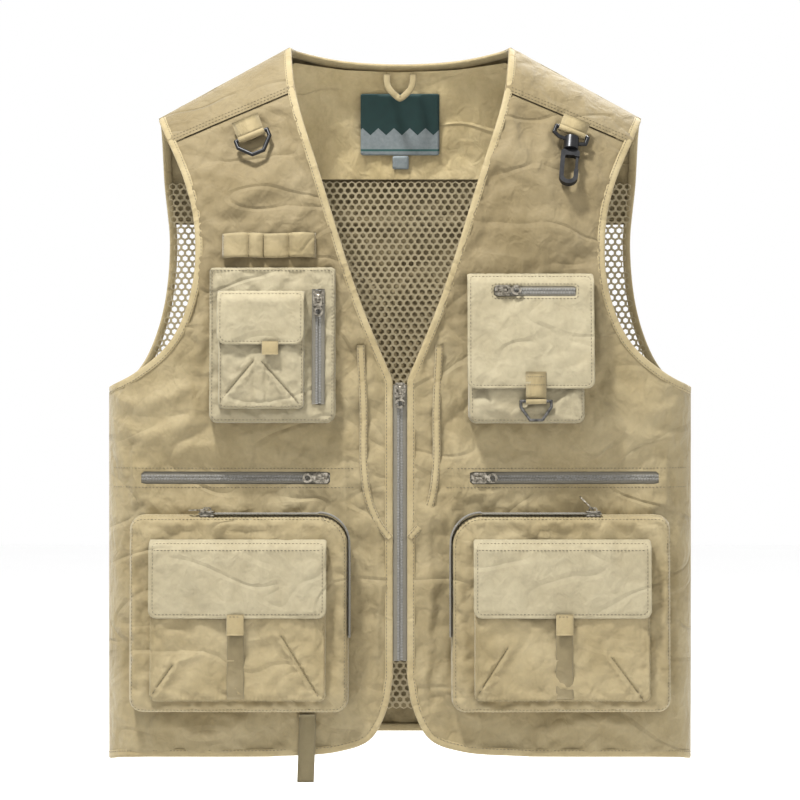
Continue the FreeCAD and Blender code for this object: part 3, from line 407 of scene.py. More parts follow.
KHAKI = ((0.272, 0.222, 0.124), (0.306, 0.254, 0.150), (0.338, 0.286, 0.178))
# Painted light: a paler, less saturated copy of the khaki that stands for the light on the upward-tilted
# flaps and chest pockets.
KHAKI_LIT = ((0.345, 0.303, 0.204), (0.362, 0.320, 0.219), (0.378, 0.337, 0.234))
khaki = cloth_material("khaki_cloth", *KHAKI)
# The fronts' cloth carries painted shade that darkens its upper part.
khaki_front = cloth_material("khaki_front", *KHAKI, painted_upper_shade=(0.76, 0.74, 0.71))
khaki_pocket = cloth_material("khaki_pocket", *[tuple(c * 1.04 for c in k) for k in KHAKI], crease=0.9)
khaki_chest = cloth_material("khaki_chest", *[tuple(c * 0.93 for c in k) for k in KHAKI_LIT], crease=0.9)
khaki_flap = cloth_material("khaki_flap", *[tuple(c * 0.97 for c in k) for k in KHAKI_LIT], crease=0.8)
tape_cloth = cloth_material("binding_cloth", *[tuple(c * 1.18 for c in k) for k in KHAKI], crease=0.5)
inner_cloth = cloth_material("facing_cloth", *[tuple(c * 1.7 for c in k) for k in KHAKI], crease=0.9)
strip_cloth = cloth_material("strip_cloth", *[tuple(c * 0.74 for c in k) for k in KHAKI], crease=0.4)


def ribbed_material(name, dark, light, pitch, rough=0.75):
    n = Nodes(name)
    ribs = n.wave(pitch, "X")
    cross = n.wave(pitch * 0.7, "Y")
    weave = n.math("MULTIPLY", ribs, cross)
    spots = n.noise(0.01, 3)
    colour = n.mix(n.math("MULTIPLY_ADD", weave, 0.5, n.math("MULTIPLY", spots, 0.5)), dark, light)
    return n.finish(colour, weave, 0.5, 0.0004, rough, Sheen_Weight=0.15)


webbing = ribbed_material("webbing", (0.17, 0.14, 0.075), (0.28, 0.235, 0.14), 0.0011)
zip_tape = ribbed_material("zip_tape", (0.15, 0.137, 0.108), (0.24, 0.222, 0.178), 0.0009)
zip_teeth = Nodes("zip_teeth")
zip_teeth = zip_teeth.finish(
    zip_teeth.mix(zip_teeth.noise(0.003, 2, space="Object"), (0.15, 0.146, 0.135), (0.33, 0.322, 0.30)),
    zip_teeth.noise(0.0012, 2, space="Object"), 0.2, 0.0003, 0.42, Specular_IOR_Level=0.5,
)


def net_material():
    n = Nodes("mesh_net")
    colour = n.mix(n.noise(0.02, 3), (0.34, 0.29, 0.18), (0.44, 0.38, 0.26))
    knit = n.wave(0.0007, "DIAGONAL")
    return n.finish(colour, knit, 0.5, 0.0004, 0.8, Sheen_Weight=0.15)


def metal_material(name, dark, light, rough):
    """Aged metal: darker in patches, brighter where it is rubbed."""
    n = Nodes(name)
    patch = n.noise(0.004, 4, 0.6, "Object")
    scratch = n.noise(0.0009, 3, 0.6, "Object", (1, 1, 6))
    colour = n.ramp(patch, ((0.35, dark), (0.62, light)))
    uneven = n.math("MULTIPLY_ADD", scratch, 0.25, rough - 0.1)
    return n.finish(colour, scratch, 0.25, 0.0002, uneven, Metallic=1.0)


def plastic_material():
    n = Nodes("black_plastic")
    grain = n.noise(0.0007, 2, 0.5, "Object")
    wear = n.noise(0.006, 4, 0.6, "Object")
    colour = n.ramp(wear, ((0.4, (0.004, 0.004, 0.005)), (0.75, (0.011, 0.011, 0.012))))
    return n.finish(colour, grain, 0.25, 0.0002, n.math("MULTIPLY_ADD", wear, 0.2, 0.28),
        Specular_IOR_Level=0.5)


def label_material():
    """A woven label: a dark green ground and a paler lower band of plain chevrons, crossed by a thin green
    line.
    """
    n = Nodes("woven_label")
    split = n.add("SeparateXYZ", {"Vector": n.coord.outputs["UV"]})
    x, z = split.outputs[0], split.outputs[1]
    zigzag = n.math("PINGPONG", n.math("ADD", x, 0.1), 0.0085)
    edge = n.math("MULTIPLY_ADD", zigzag, 0.9, 0.6425)
    low = n.math("LESS_THAN", z, edge)
    band = n.mix(n.noise(0.004, 3), (0.16, 0.19, 0.20), (0.30, 0.33, 0.33))
    green = n.mix(n.noise(0.01, 3), (0.004, 0.028, 0.027), (0.008, 0.048, 0.043))
    stripe = n.math("LESS_THAN", n.math("ABSOLUTE", n.math("SUBTRACT", z, 0.6265)), 0.0011)
    colour = n.mix(low, green, n.mix(stripe, band, (0.03, 0.11, 0.10)))
    weave = n.math("MAXIMUM", n.wave(0.0006, "X"), n.wave(0.0004, "Y"))
    colour = n.mix(0.25, colour, n.ramp(weave, ((0.0, (0.55, 0.55, 0.55)), (0.7, (1, 1, 1)))), "MULTIPLY")
    return n.finish(colour, weave, 0.4, 0.0004, 0.55, Sheen_Weight=0.2)


def thread_material():
    n = Nodes("thread")
    twist = n.wave(0.0006, "DIAGONAL", "Object")
    # The thread is darker than the cloth: partly its own colour, partly painted shade that stands for the
    # shadowed stitch holes.
    colour = n.mix(twist, (0.075, 0.058, 0.028), (0.14, 0.112, 0.058))
    return n.finish(colour, twist, 0.4, 0.0002, 0.6, Sheen_Weight=0.3)


net = net_material()
antique = metal_material("antique_nickel", (0.12, 0.108, 0.086), (0.48, 0.44, 0.37), 0.34)
gunmetal = metal_material("gunmetal", (0.06, 0.058, 0.054), (0.19, 0.185, 0.175), 0.36)
black = plastic_material()
label_cloth = label_material()
thread = thread_material()

# ---------------------------------------------------------------- making pieces


def make(name, points, faces, material, uv=None):
    """A smooth mesh from points in millimetres. uv is in millimetres too."""
    mesh = bpy.data.meshes.new(name)
    mesh.from_pydata([tuple(p) for p in row(points)], [], [tuple(int(k) for k in f) for f in faces])
    mesh.polygons.foreach_set("use_smooth", [True] * len(mesh.polygons))
    layer = mesh.uv_layers.new(name="cloth")
    flat = np.asarray(points, float)[:, [0, 2]] if uv is None else np.asarray(uv, float)
    corners = np.zeros(len(mesh.loops), int)
    mesh.loops.foreach_get("vertex_index", corners)
    layer.data.foreach_set("uv", (flat[corners] / 1000).ravel())
    mesh.materials.append(material)
    piece = bpy.data.objects.new(name, mesh)
    bpy.context.scene.collection.objects.link(piece)
    return piece


def swinging(piece):
    """Bakes the piece's transform into its mesh."""
    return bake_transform(piece)


def thicken(piece, millimetres):
    """Gives a sheet its thickness, behind its outer face."""
    solid = piece.modifiers.new("thickness", "SOLIDIFY")
    solid.thickness = millimetres / 1000
    solid.offset = -1
    solid.use_even_offset = False
    depsgraph = bpy.context.evaluated_depsgraph_get()
    mesh = bpy.data.meshes.new_from_object(piece.evaluated_get(depsgraph))
    piece.modifiers.clear()
    piece.data = mesh
    return piece


def facing_front(points, faces, sign=-1):
    """Turns every face so that it looks along sign * Y."""
    a, b, c = (points[faces[:, k]] for k in range(3))
    n = np.cross(b - a, c - a)
    flip = n[:, 1] * sign < 0
    faces = faces.copy()
    faces[flip] = faces[flip][:, ::-1]
    return faces


def outward(shell, uv, points, faces):
    n = shell.normal(uv)[faces[:, 0]]
    a, b, c = (points[faces[:, k]] for k in range(3))
    flip = np.sum(np.cross(b - a, c - a) * n, 1) < 0
    faces = faces.copy()
    faces[flip] = faces[flip][:, ::-1]
    return faces


def crease(points, line, width, height):
    """A raised fold along a polyline, dying away at its ends."""
    line = np.asarray(line, float)
    d = away(points, line)
    a, b = line[0], line[-1]
    t = ((points - a) @ (b - a)) / ((b - a) @ (b - a))
    ends = ease(t * 4 + 0.6) * ease((1 - t) * 4 + 0.6)
    return height * np.exp(-((d / width) ** 2)) * ends


soft = []


def crumples(piece, pinned, grow=0.03, out=3.0, back=3.0, pressure=0.0, thickness=0.0):
    """Lists a sheet for settle(). pinned is 0 to 1 for each point; cloth grown by grow buckles."""
    soft.append((piece, np.asarray(pinned, float), grow, out, back, pressure, thickness))
    return piece


def settle(frames=24):
    """Lets the listed sheets buckle in a cloth simulation, keeps the shapes and removes the simulation."""
    scene = bpy.context.scene
    rest = {}
    for piece, pinned, grow, _, _, pressure, _ in soft:
        co = np.zeros(len(piece.data.vertices) * 3)
        piece.data.vertices.foreach_get("co", co)
        rest[piece.name] = co.reshape(-1, 3)
        group = piece.vertex_groups.new(name="pin")
        for level in np.unique(np.round(pinned, 1)):
            if level > 0:
                group.add([int(k) for k in np.flatnonzero(np.round(pinned, 1) == level)], float(level),
                    "REPLACE")
        cloth = piece.modifiers.new("cloth", "CLOTH")
        settings = cloth.settings
        settings.quality = 6
        settings.mass = 0.08
        settings.air_damping = 2.0
        settings.tension_stiffness = settings.compression_stiffness = 30
        settings.shear_stiffness = 12
        settings.bending_stiffness = 0.08
        settings.effector_weights.gravity = 0
        settings.vertex_group_mass = "pin"
        settings.shrink_min = settings.shrink_max = -grow
        if pressure:
            settings.use_pressure = True
            settings.uniform_pressure_force = pressure
        cloth.collision_settings.use_collision = False
        cloth.collision_settings.use_self_collision = False
        cloth.point_cache.frame_start, cloth.point_cache.frame_end = 1, frames + 1
    scene.frame_start, scene.frame_end = 1, frames + 1
    for number in range(1, frames + 1):
        scene.frame_set(number)
    depsgraph = bpy.context.evaluated_depsgraph_get()
    for piece, pinned, _, out, back, _, thickness in soft:
        base = rest[piece.name]
        evaluated = piece.evaluated_get(depsgraph)
        co = np.zeros(len(evaluated.data.vertices) * 3)
        evaluated.data.vertices.foreach_get("co", co)
        moved = co.reshape(-1, 3) - base
        normals = np.zeros(len(base) * 3)
        piece.data.vertices.foreach_get("normal", normals)
        normals = normals.reshape(-1, 3)
        moved[~np.isfinite(moved).all(1)] = 0
        along_n = np.sum(moved * normals, 1)
        across = moved - normals * along_n[:, None]
        size = np.linalg.norm(across, axis=1)
        across *= np.minimum(1, 0.0015 / np.maximum(size, 1e-9))[:, None]
        limit = np.where(along_n > 0, out, back) / 1000
        along_n = limit * np.tanh(along_n / np.maximum(limit, 1e-6))
        base = base + across + normals * along_n[:, None]
        piece.modifiers.clear()
        piece.vertex_groups.clear()
        piece.data.vertices.foreach_set("co", base.ravel())
        piece.data.update()
        if thickness:
            thicken(piece, thickness)
    scene.frame_set(1)


stitch_points, stitch_faces = {}, {}


def stitch(key, points, normals, length=2.7, pitch=3.6, radius=0.3):
    """Adds a row of stitches along a 3D line to the piece of that key."""
    p = np.asarray(points, float)
    run = run_of(p)
    starts = np.arange(0.4, run[-1] - length, pitch)
    verts, faces = stitch_points.setdefault(key, []), stitch_faces.setdefault(key, [])
    for s in starts:
        rows = []
        for t, size, lift in ((0, 0.35, -0.25), (0.3, 1, 0.12), (0.7, 1, 0.12), (1, 0.35, -0.25)):
            at = s + t * length
            c = np.array([np.interp(at, run, p[:, k]) for k in range(3)])
            n = np.array([np.interp(at, run, normals[:, k]) for k in range(3)])
            rows.append((c + n * lift, n, size))
        t_dir = rows[-1][0] - rows[0][0]
        t_dir = t_dir / max(1e-9, np.linalg.norm(t_dir))
        base = len(verts)
        for c, n, size in rows:
            b = np.cross(t_dir, n)
            for q in (b, n, -b, -n):
                verts.append(c + q * radius * size)
        for k in range(3):
            for j in range(4):
                a, b2 = base + k * 4 + j, base + k * 4 + (j + 1) % 4
                faces.append((a, b2, b2 + 4, a + 4))


trees = {}


def seat(tree_names, xz, front=True, lift=0.05):
    """Points on the frontmost of the named pieces below a 2D line, and the normals there."""
    direction = Vector((0, 1, 0)) if front else Vector((0, -1, 0))
    out, normals = [], []
    for x, z in xz:
        best = None
        for name in tree_names:
            if name not in trees:
                piece = bpy.data.objects[name]
                mesh = piece.data
                trees[name] = BVHTree.FromPolygons([v.co for v in mesh.vertices],
                    [tuple(p.vertices) for p in mesh.polygons])
            start = Vector(row((x, -400 if front else 400, z)))
            hit, normal, _, gap = trees[name].ray_cast(start, direction)
            if hit is not None and (best is None or gap < best[2]):
                best = (hit, normal, gap)
        if best is None:
            continue
        normal = best[1] if best[1].dot(direction) < 0 else -best[1]
        out.append(np.array(best[0]) * 1000 + ORIGIN + np.array(normal) * lift)
        normals.append(np.array(normal))
    return np.array(out), np.array(normals)


def topstitch(key, tree_names, line, front=True, **kind):
    points, normals = seat(tree_names, along(line, 3.0), front)
    if len(points) > 2:
        stitch(key, points, normals, **kind)


def sweep(centre, across, normal, section, close=True):
    """Points and faces of a section swept along a line. section is in (across, normal) steps."""
    n, m = len(centre), len(section)
    pts = np.zeros((n, m, 3))
    for j, (w, h) in enumerate(section):
        pts[:, j] = centre + across * np.reshape(w, (-1, 1)) + normal * np.reshape(h, (-1, 1))
    faces = []
    for i in range(n - 1):
        for j in range(m if close else m - 1):
            k = (j + 1) % m
            faces.append((i * m + j, i * m + k, (i + 1) * m + k, (i + 1) * m + j))
    if close:
        faces.append(tuple(range(m)))
        faces.append(tuple((n - 1) * m + j for j in reversed(range(m))))
    return pts.reshape(-1, 3), faces


def swept_uv(centre, section):
    run = run_of(centre)
    width = np.cumsum([0] + [math.hypot(float(np.mean(b[0] - a[0])), float(np.mean(b[1] - a[1]))) for a,
        b in zip(section, section[1:])])
    return np.array([(w, r) for r in run for w in width])


# Half a folded tape in section, from its outer edge round the cloth's edge to its inner edge.
BIND_SECTION = [(8.0, 0.1), (7.4, 0.75), (6.4, 0.62), (4.2, 0.95), (1.4, 0.85), (0.25, 0.1), (0.0, -1.2),
    (0.25, -2.5),
                (1.4, -3.2), (4.2, -3.2), (7.4, -3.0), (8.0, -2.4)]


def binding(name, runs, inward, seed=0.0, stitch_key=None):
    """A folded tape over an edge. runs are (shell, x-z line) pairs, and the tape lies towards inward."""
    centre, across, normal = [], [], []
    for shell, line in runs:
        uv = shell.uv(along(line, 4.0))
        at, n = shell.at(uv), shell.normal(uv)
        b = np.cross(tangents(at), n)
        if centre and np.linalg.norm(at[0] - centre[-1][-1]) < 6:
            at, b, n = at[1:], b[1:], n[1:]
        centre.append(at)
        across.append(b)
        normal.append(n)
    flips = []
    for c, b in zip(centre, across):
        middle = len(c) // 2
        flips.append(np.sign(np.dot(np.asarray(inward) - c[middle], b[middle])))
    across = [b * f for b, f in zip(across, flips)]
    centre, across, normal = np.vstack(centre), np.vstack(across), np.vstack(normal)
    for field in (across, normal):
        for _ in range(2):
            field[1:-1] = (field[:-2] + field[1:-1] + field[2:]) / 3
        field /= np.linalg.norm(field, axis=1)[:, None]
    run = run_of(centre)
    pucker = np.array([noise.fractal(Vector((r / 9.0, seed, 0)), 0.8, 2.0, 2) for r in run])
    slow = np.array([noise.fractal(Vector((r / 45.0, seed, 5)), 0.8, 2.0, 2) for r in run])
    section = [(w + 0.35 * pucker * (w > 6),
        h + (0.28 * pucker + 0.3 * slow) * (1 if h > -1 else 0.6)) for w, h in BIND_SECTION]
    points, faces = sweep(centre, across, normal, section)
    piece = make(name, points, faces, tape_cloth, swept_uv(centre, section))
    if stitch_key:
        h = 0.72 + 0.28 * pucker + 0.3 * slow
        stitch(stitch_key, centre + across * 6.4 + normal * h[:, None], normal)
    return piece


# ---------------------------------------------------------------- cloth panels

NECKLINE = smooth([(-113.6, 724), (-105.5, 667), (-80, 583), (-41, 460), (-7, 376)])
CENTRE = [(-7, 376), (-7, 80)]
HEM_CORNER = smooth([(-7, 80), (-13, 48), (-30, 17), (-62, 5), (-130, 0)])
HEM = smooth([(-130, 0), (-230, -1), (-262, -2.2), (-286, -4.6), (-299, -9)])
SIDE = [(-299, -9), (-299, 369.5)]
FRONT_ARM = smooth([(-299, 369.5), (-268, 384), (-230, 417), (-209, 470), (-207, 530), (-218, 577),
    (-251, 649)])
BACK_ARM = smooth([(-299, 369.5), (-276, 396), (-256, 448), (-247, 520), (-251, 590), (-251, 649)])
BACK_NECK = smooth([(-113.6, 724), (-60, 716.5), (0, 714), (60, 716.5), (113.6, 724)])


def seam_z(x):
    """Height of the front yoke seam."""
    return 592.5 + (300 - np.abs(x)) * 0.40625


def flipped(line, side):
    """The wearer's right side's line, or its mirror image for side = 1."""
    return np.asarray(line, float) * (-side, 1)


def part(line, test):
    line = np.asarray(line)
    return line[test(line)]


def folds_of(xz, side, seed):
    """Soft folds of one front panel, in millimetres along its normal."""
    out = 1.5 * wave(xz, 75, seed, (0.8, 1.8)) + 0.8 * wave(xz, 26, seed + 3, (0.9, 1.5))
    mirrored = xz * (-side, 1)
    arm = away(mirrored, FRONT_ARM)
    out += 0.8 * np.sin(mirrored[:, 1] / 7.5 + 2 * wave(xz, 40, seed + 5)) * np.exp(-arm / 16)
    hem = np.abs(mirrored[:, 1])
    out += 0.7 * np.sin(mirrored[:, 0] / 6.5 + 2 * wave(xz, 40, seed + 7)) * np.exp(-hem / 18)
    middle = np.abs(mirrored[:, 0] + 7)
    ripple = np.sin(mirrored[:, 1] / 8.5 + 3 * wave(xz, 50, seed + 9))
    out += 0.9 * ripple * np.exp(-middle / 14) * (mirrored[:, 1] < 380)
    return out


STROKES = {
    -1: [
        ([(-292, 362), (-262, 352), (-215, 368)], 9, 3.4),
        ([(-296, 330), (-250, 322), (-205, 335)], 10, 2.6),
        ([(-205, 400), (-196, 450), (-200, 500)], 7, 2.2), ([(-60, 330), (-56, 240), (-62, 170)], 7, 2.2),
        ([(-24, 250), (-22, 150), (-28, 60)], 5, 2.0), ([(-285, 240), (-288, 120), (-280, 40)], 8, 2.6),
        ([(-245, 36), (-200, 26), (-150, 34)], 8, 2.4), ([(-120, 600), (-135, 570), (-170, 548)], 9, 1.8),
    ],
    1: [
        ([(292, 352), (250, 345), (212, 372)], 10, 3.2), ([(294, 318), (240, 322), (205, 345)], 9, 2.6),
        ([(206, 400), (200, 450), (204, 500)], 7, 2.2), ([(58, 330), (54, 220), (60, 130)], 7, 2.4),
        ([(25, 250), (30, 150), (24, 60)], 6, 2.4), ([(287, 240), (283, 130), (288, 40)], 8, 2.6),
        ([(240, 30), (190, 36), (140, 26)], 8, 2.2), ([(110, 610), (140, 575), (180, 560)], 10, 1.8),
        ([(45, 120), (52, 70), (80, 34)], 8, 2.6),
    ],
}


# What is sewn to each front, as boxes on the wearer's right: x, z and corner radii.
UNDER = {
    -1: [((-190, -65, 334, 489), (8, 10, 4, 4)), ((-270, -51, 46, 242), (14, 14, 30, 14)),
        ((-178, -84, 498, 525), (1, 1, 1, 1))],
    1: [((-193, -67, 334, 484), (8, 8, 2, 2)), ((-270, -51, 46, 242), (14, 14, 30, 14))],
}


def box_distance(points, x0, x1, z0, z1, radii):
    """Distance inside the edge of a rectangle with four corner radii."""
    cx, cz = (x0 + x1) / 2, (z0 + z1) / 2
    x, z = points[:, 0] - cx, points[:, 1] - cz
    low = z < 0
    left = x < 0
    r = np.where(low, np.where(left, radii[0], radii[1]), np.where(left, radii[3], radii[2]))
    qx = np.abs(x) - (x1 - x0) / 2 + r
    qz = np.abs(z) - (z1 - z0) / 2 + r
    gap = np.hypot(np.maximum(qx, 0), np.maximum(qz, 0)) + np.minimum(np.maximum(qx, qz), 0) - r
    return -gap


def front_panel(side):
    """One front's cloth below the yoke seam, with a window for the waist zip."""
    name = WORDS[side] + "_front_cloth"
    neck = part(NECKLINE, lambda p: p[:, 1] < seam_z(p[:, 0]) + 3)
    arm = part(FRONT_ARM, lambda p: p[:, 1] < seam_z(p[:, 0]) + 3)
    top = [arm[-1], neck[0]]
    runs = [neck, CENTRE, HEM_CORNER, HEM, SIDE, arm, top]
    step = 4.6
    loop = closed(*runs, step=step)
    window = rounded(-260, -70, WAIST_Z - 6.2, WAIST_Z + 6.2, [1, 1, 1, 1], step)
    loop, window = flipped(loop, side), flipped(window, side)
    uv, faces = fill(front_shell.uv(loop), step, [front_shell.uv(window)])
    at = front_shell.at(uv)
    xz = at[:, [0, 2]]
    edge = away(uv, front_shell.uv(loop), True)
    calm = ease(edge / 16) * 0.85 + 0.15
    seam_gap = np.hypot(HALF - np.abs(xz[:, 0]), at[:, 1] * (xz[:, 1] < 372))
    calm *= 0.05 + 0.95 * ease((seam_gap - 60) / 50)
    out = folds_of(xz, side, 11.0 + side)
    for line, width, height in STROKES[side]:
        out += crease(xz, smooth(line), width, height * 1.3)
    zip_gap = np.maximum(0, np.abs(xz[:, 1] - WAIST_Z) - 6)
    flat_x = (np.abs(xz[:, 0]) > 60) & (np.abs(xz[:, 0]) < 270)
    calm *= np.where(flat_x, 0.25 + 0.75 * ease(zip_gap / 22), 1)
    out = out * calm - 1.0 * (1 - ease(edge / 7)) - 0.3
    n = front_shell.normal(uv)
    points = at + n * out[:, None]
    # The cloth lies on the straight zip tape round the waist window.
    chord = -FRONT * plan(70.0) + (np.abs(xz[:,
        0]) - 70) / 189.5 * (FRONT * plan(70.0) - FRONT * plan(259.5))
    near = (1 - ease(zip_gap / 30)) * flat_x
    points[:, 1] = points[:, 1] * (1 - near) + (chord - 1.3 + out * 0.5) * near
    piece = make(name, points, outward(front_shell, uv, points, faces), khaki_front, uv)
    mirrored = xz * (-side, 1)
    pinned = np.maximum(edge < 5, 1 - ease((seam_gap - 80) / 25))
    pinned = np.maximum(pinned, (zip_gap < 5) & flat_x)
    for box, radii in UNDER[side]:
        d = box_distance(mirrored, *box, radii)
        pinned = np.maximum(pinned, d > 2)
    crumples(piece, pinned, 0.034, 4.0, 4.0)
    return piece


def yoke_front(side):
    neck = part(NECKLINE, lambda p: p[:, 1] > seam_z(p[:, 0]) - 2)
    arm = part(FRONT_ARM, lambda p: p[:, 1] > seam_z(p[:, 0]) - 2)
    ridge_line = [(x, float(ridge(x))) for x in np.linspace(-251, -113.6, 30)]
    loop = flipped(closed(neck, [neck[-1], arm[0]], arm, ridge_line, step=4.0), side)
    loop_uv = front_shell.uv(loop)
    uv, faces = fill(loop_uv, 5.0)
    at = front_shell.at(uv)
    out = 0.8 * wave(at[:, [0, 2]], 35, 4 + side) + 0.5 + 0.5 * wave(at[:, [0, 2]], 14, 8 + side)
    out *= ease(away(uv, loop_uv, True) / 9)
    seam = away(at[:, [0, 2]], flipped([(-300, 592.5), (-60, 690)], side))
    out = out + 0.9 * np.exp(-((seam - 4) / 4) ** 2)
    points = at + front_shell.normal(uv) * out[:, None]
    name = WORDS[side] + "_front_yoke"
    return make(name, points, outward(front_shell, uv, points, faces), khaki_front, uv)


def back_piece(name, loop, step, seed, lift=0.0, amount=1.0, offset=None, material=None):
    loop_uv = back_shell.uv(loop)
    uv, faces = fill(loop_uv, step)
    at = back_shell.at(uv)
    xz = at[:, [0, 2]]
    edge = away(uv, loop_uv, True)
    seam_gap = np.hypot(HALF - np.abs(xz[:, 0]), at[:, 1])
    calm = 0.05 + 0.95 * ease((seam_gap - 60) / 50)
    folds = 1.6 * wave(xz, 80, seed, (0.8, 1.8)) + 0.8 * wave(xz, 26, seed + 2)
    out = amount * folds * ease(edge / 14) * calm
    out += lift - 0.8 * (1 - ease(edge / 6))
    if offset is not None:
        out = np.full(len(uv), offset) + amount * 0.6 * wave(xz, 30, seed) * ease(edge / 10)
    points = at + back_shell.normal(uv) * out[:, None]
    piece = make(name, points, outward(back_shell, uv, points, faces), material or khaki, uv)
    pinned = np.maximum(edge < 5, 1 - ease((seam_gap - 80) / 25))
    return crumples(piece, pinned, 0.036 if offset is None else 0.015, 4.0, 2.0 if offset is None else 0.8)


fronts = {}
for side in (-1, 1):
    word = WORDS[side]
    panel = front_panel(side)
    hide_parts(word + "_front_panel", word + "_upper_front")
    fronts[side] = panel.name
    yoke = yoke_front(side)
    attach(yoke, "vest_back")

ridge_right = [(x, float(ridge(x))) for x in np.linspace(-251, -113.6, 30)]
ridge_left = [(-x, z) for x, z in reversed(ridge_right)]
arm_high = part(BACK_ARM, lambda p: p[:, 1] > 541)
yoke_loop = closed(
    arm_high, ridge_right, BACK_NECK, ridge_left, flipped(arm_high, 1)[::-1],
    [flipped(arm_high, 1)[0], arm_high[0]], step=5.0
)
back_yoke = back_piece("back_yoke", yoke_loop, 6.0, 21.0)
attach(back_yoke, "vest_back")
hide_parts("shoulder_yoke")

low_arm = [(-299, 262), (-299, -9)]
body_loop = closed(
    [(-168, 545), (-168, 262)], [(-168, 262), (-299, 262)], low_arm, HEM[::-1], [(-130, 0), (130, 0)],
    flipped(HEM, 1), [(299, -9), (299, 262)], [(299, 262), (168, 262)], [(168, 262), (168, 545)],
    [(168, 545), (-168, 545)], step=6.0,
)
back_body = back_piece("back_body", body_loop, 6.0, 31.0, amount=2.0)
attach(back_body, "vest_back")
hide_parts("back_panel")

# Knitted mesh: six-sided holes in offset rows, over the whole inside of the back.
MESH_OUT = -5.3
CELL_X, CELL_Z = 8.0, 6.1


def net_piece(name, keep_x):
    """The lining's cells whose middles pass keep_x, as a net with real holes."""
    lower = back_shell.uv([(0, 22)])[0, 1]
    upper = back_shell.uv([(0, 592)])[0, 1]
    arm = joined([(-299, 22), (-299, 369.5)], part(BACK_ARM, lambda p: p[:, 1] < 596))
    outline_loop = np.vstack([arm, flipped(arm, 1)[::-1]])
    outline_uv = back_shell.uv(outline_loop)
    verts, index, faces = [], {}, []

    def vertex(u, v, hole):
        key = (round(u, 2), round(v, 2), hole)
        if key not in index:
            index[key] = len(verts)
            verts.append((u, v))
        return index[key]

    centres = []
    rows = int((upper - lower) / CELL_Z)
    for j in range(rows + 1):
        v = lower + j * CELL_Z
        shift = CELL_X / 2 if j % 2 else 0
        for i in range(-60, 61):
            centres.append((i * CELL_X + shift, v))
    centres = np.array(centres)
    centres = centres[inside(centres, outline_uv)]
    centres = centres[away(centres, outline_uv, True) > 4.4]
    xs = back_shell.at(centres)[:, 0]
    centres = centres[keep_x(xs)]
    corner = [(0, CELL_Z * 2 / 3), (CELL_X / 2, CELL_Z / 3), (CELL_X / 2, -CELL_Z / 3),
              (0, -CELL_Z * 2 / 3), (-CELL_X / 2, -CELL_Z / 3), (-CELL_X / 2, CELL_Z / 3)]
    for u, v in centres:
        wobble = 1 + 0.06 * noise.noise(Vector((u / 9, v / 9, 3)))
        outer = [vertex(u + a, v + b, False) for a, b in corner]
        inner = [vertex(u + a * 0.66 * wobble, v + b * 0.70 * wobble, True) for a, b in corner]
        for k in range(6):
            m = (k + 1) % 6
            faces.append((outer[k], outer[m], inner[m], inner[k]))
    uv = np.array(verts)
    at = back_shell.at(uv)
    out = MESH_OUT + 1.2 * wave(at[:, [0, 2]], 70, 51) - 0.5
    points = at + back_shell.normal(uv) * out[:, None]
    return make(name, points, faces, net, uv)


for name, keep_x in (
    ("net_middle", lambda x: np.abs(x) < 150), ("net_right", lambda x: x <= -150),
    ("net_left", lambda x: x >= 150)
):
    piece = net_piece(name, keep_x)
    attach(piece, "vest_back")
    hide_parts("back_mesh_lining")

facing_loop = closed(
    [(-200, 595), (200, 595)], [(200, 595), (205, 630)], [(205, 630), (190, float(ridge(190)) - 6)],
    [(190, float(ridge(190)) - 6), (113, 716)], [(113, 716), (60, 710)], [(60, 710), (0, 708)],
    [(0, 708), (-60, 710)], [(-60, 710), (-113, 716)], [(-113, 716), (-190, float(ridge(190)) - 6)],
    [(-190, float(ridge(190)) - 6), (-205, 630)], [(-205, 630), (-200, 595)], step=5.0,
)
facing = back_piece("neck_facing_cloth", facing_loop, 5.5, 41.0, offset=-6.6, material=inner_cloth)
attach(facing, "vest_back")
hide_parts("neck_facing")

for name, box, radius in (
    ("woven_label", (-42.5, 42.5, 621, 686), 1.5), ("size_label", (-8, 9.5, 606, 620.4), 1)
):
    loop_uv = back_shell.uv(rounded(*box, [radius] * 4, 2.5))
    uv, faces = fill(loop_uv, 3.0)
    at = back_shell.at(uv)
    out = -7.9 - 0.35 * ease(away(uv, loop_uv, True) / 3) + 0.25 * wave(at[:, [0, 2]], 22, 3)
    points = at + back_shell.normal(uv) * out[:, None]
    piece = make(name, points, facing_front(points, faces), label_cloth, at[:, [0, 2]])
    thicken(piece, -0.5)
    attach(piece, "vest_back")
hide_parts("neck_label")

# ---------------------------------------------------------------- bindings


for side in (-1, 1):
    word = WORDS[side]
    key = word + "_swing"
    path = flipped(joined(NECKLINE, CENTRE, HEM_CORNER, HEM), side)
    edge = binding(word + "_edge_tape", [(front_shell, path)], (150.0 * side, -105.0, 300.0), 2 + side, key)
    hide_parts(word + "_edge_binding")
    arm = binding(word + "_armhole_front_tape", [(front_shell, flipped(FRONT_ARM, side))],
                  (150.0 * side, -100.0, 440.0), 6 + side, key)
    rear = binding(word + "_armhole_back_tape", [(back_shell, flipped(BACK_ARM, side))],
                   (120.0 * side, 90.0, 440.0), 8 + side, "back")
    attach(rear, "vest_back")
    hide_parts("armhole_bindings")
    for piece in (edge, arm):
        swinging(piece)

neck_tape = binding("back_neck_tape", [(back_shell, BACK_NECK)], (0, 90, 500), 12, "back")
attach(neck_tape, "vest_back")
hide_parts("neck_binding")
back_hem = joined(HEM[::-1], [(-130, 0), (130, 0)], flipped(HEM, 1))
hem_tape = binding("back_hem_tape", [(back_shell, back_hem)], (0, 95, 300), 14, "back")
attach(hem_tape, "vest_back")
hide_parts("back_hem_binding")


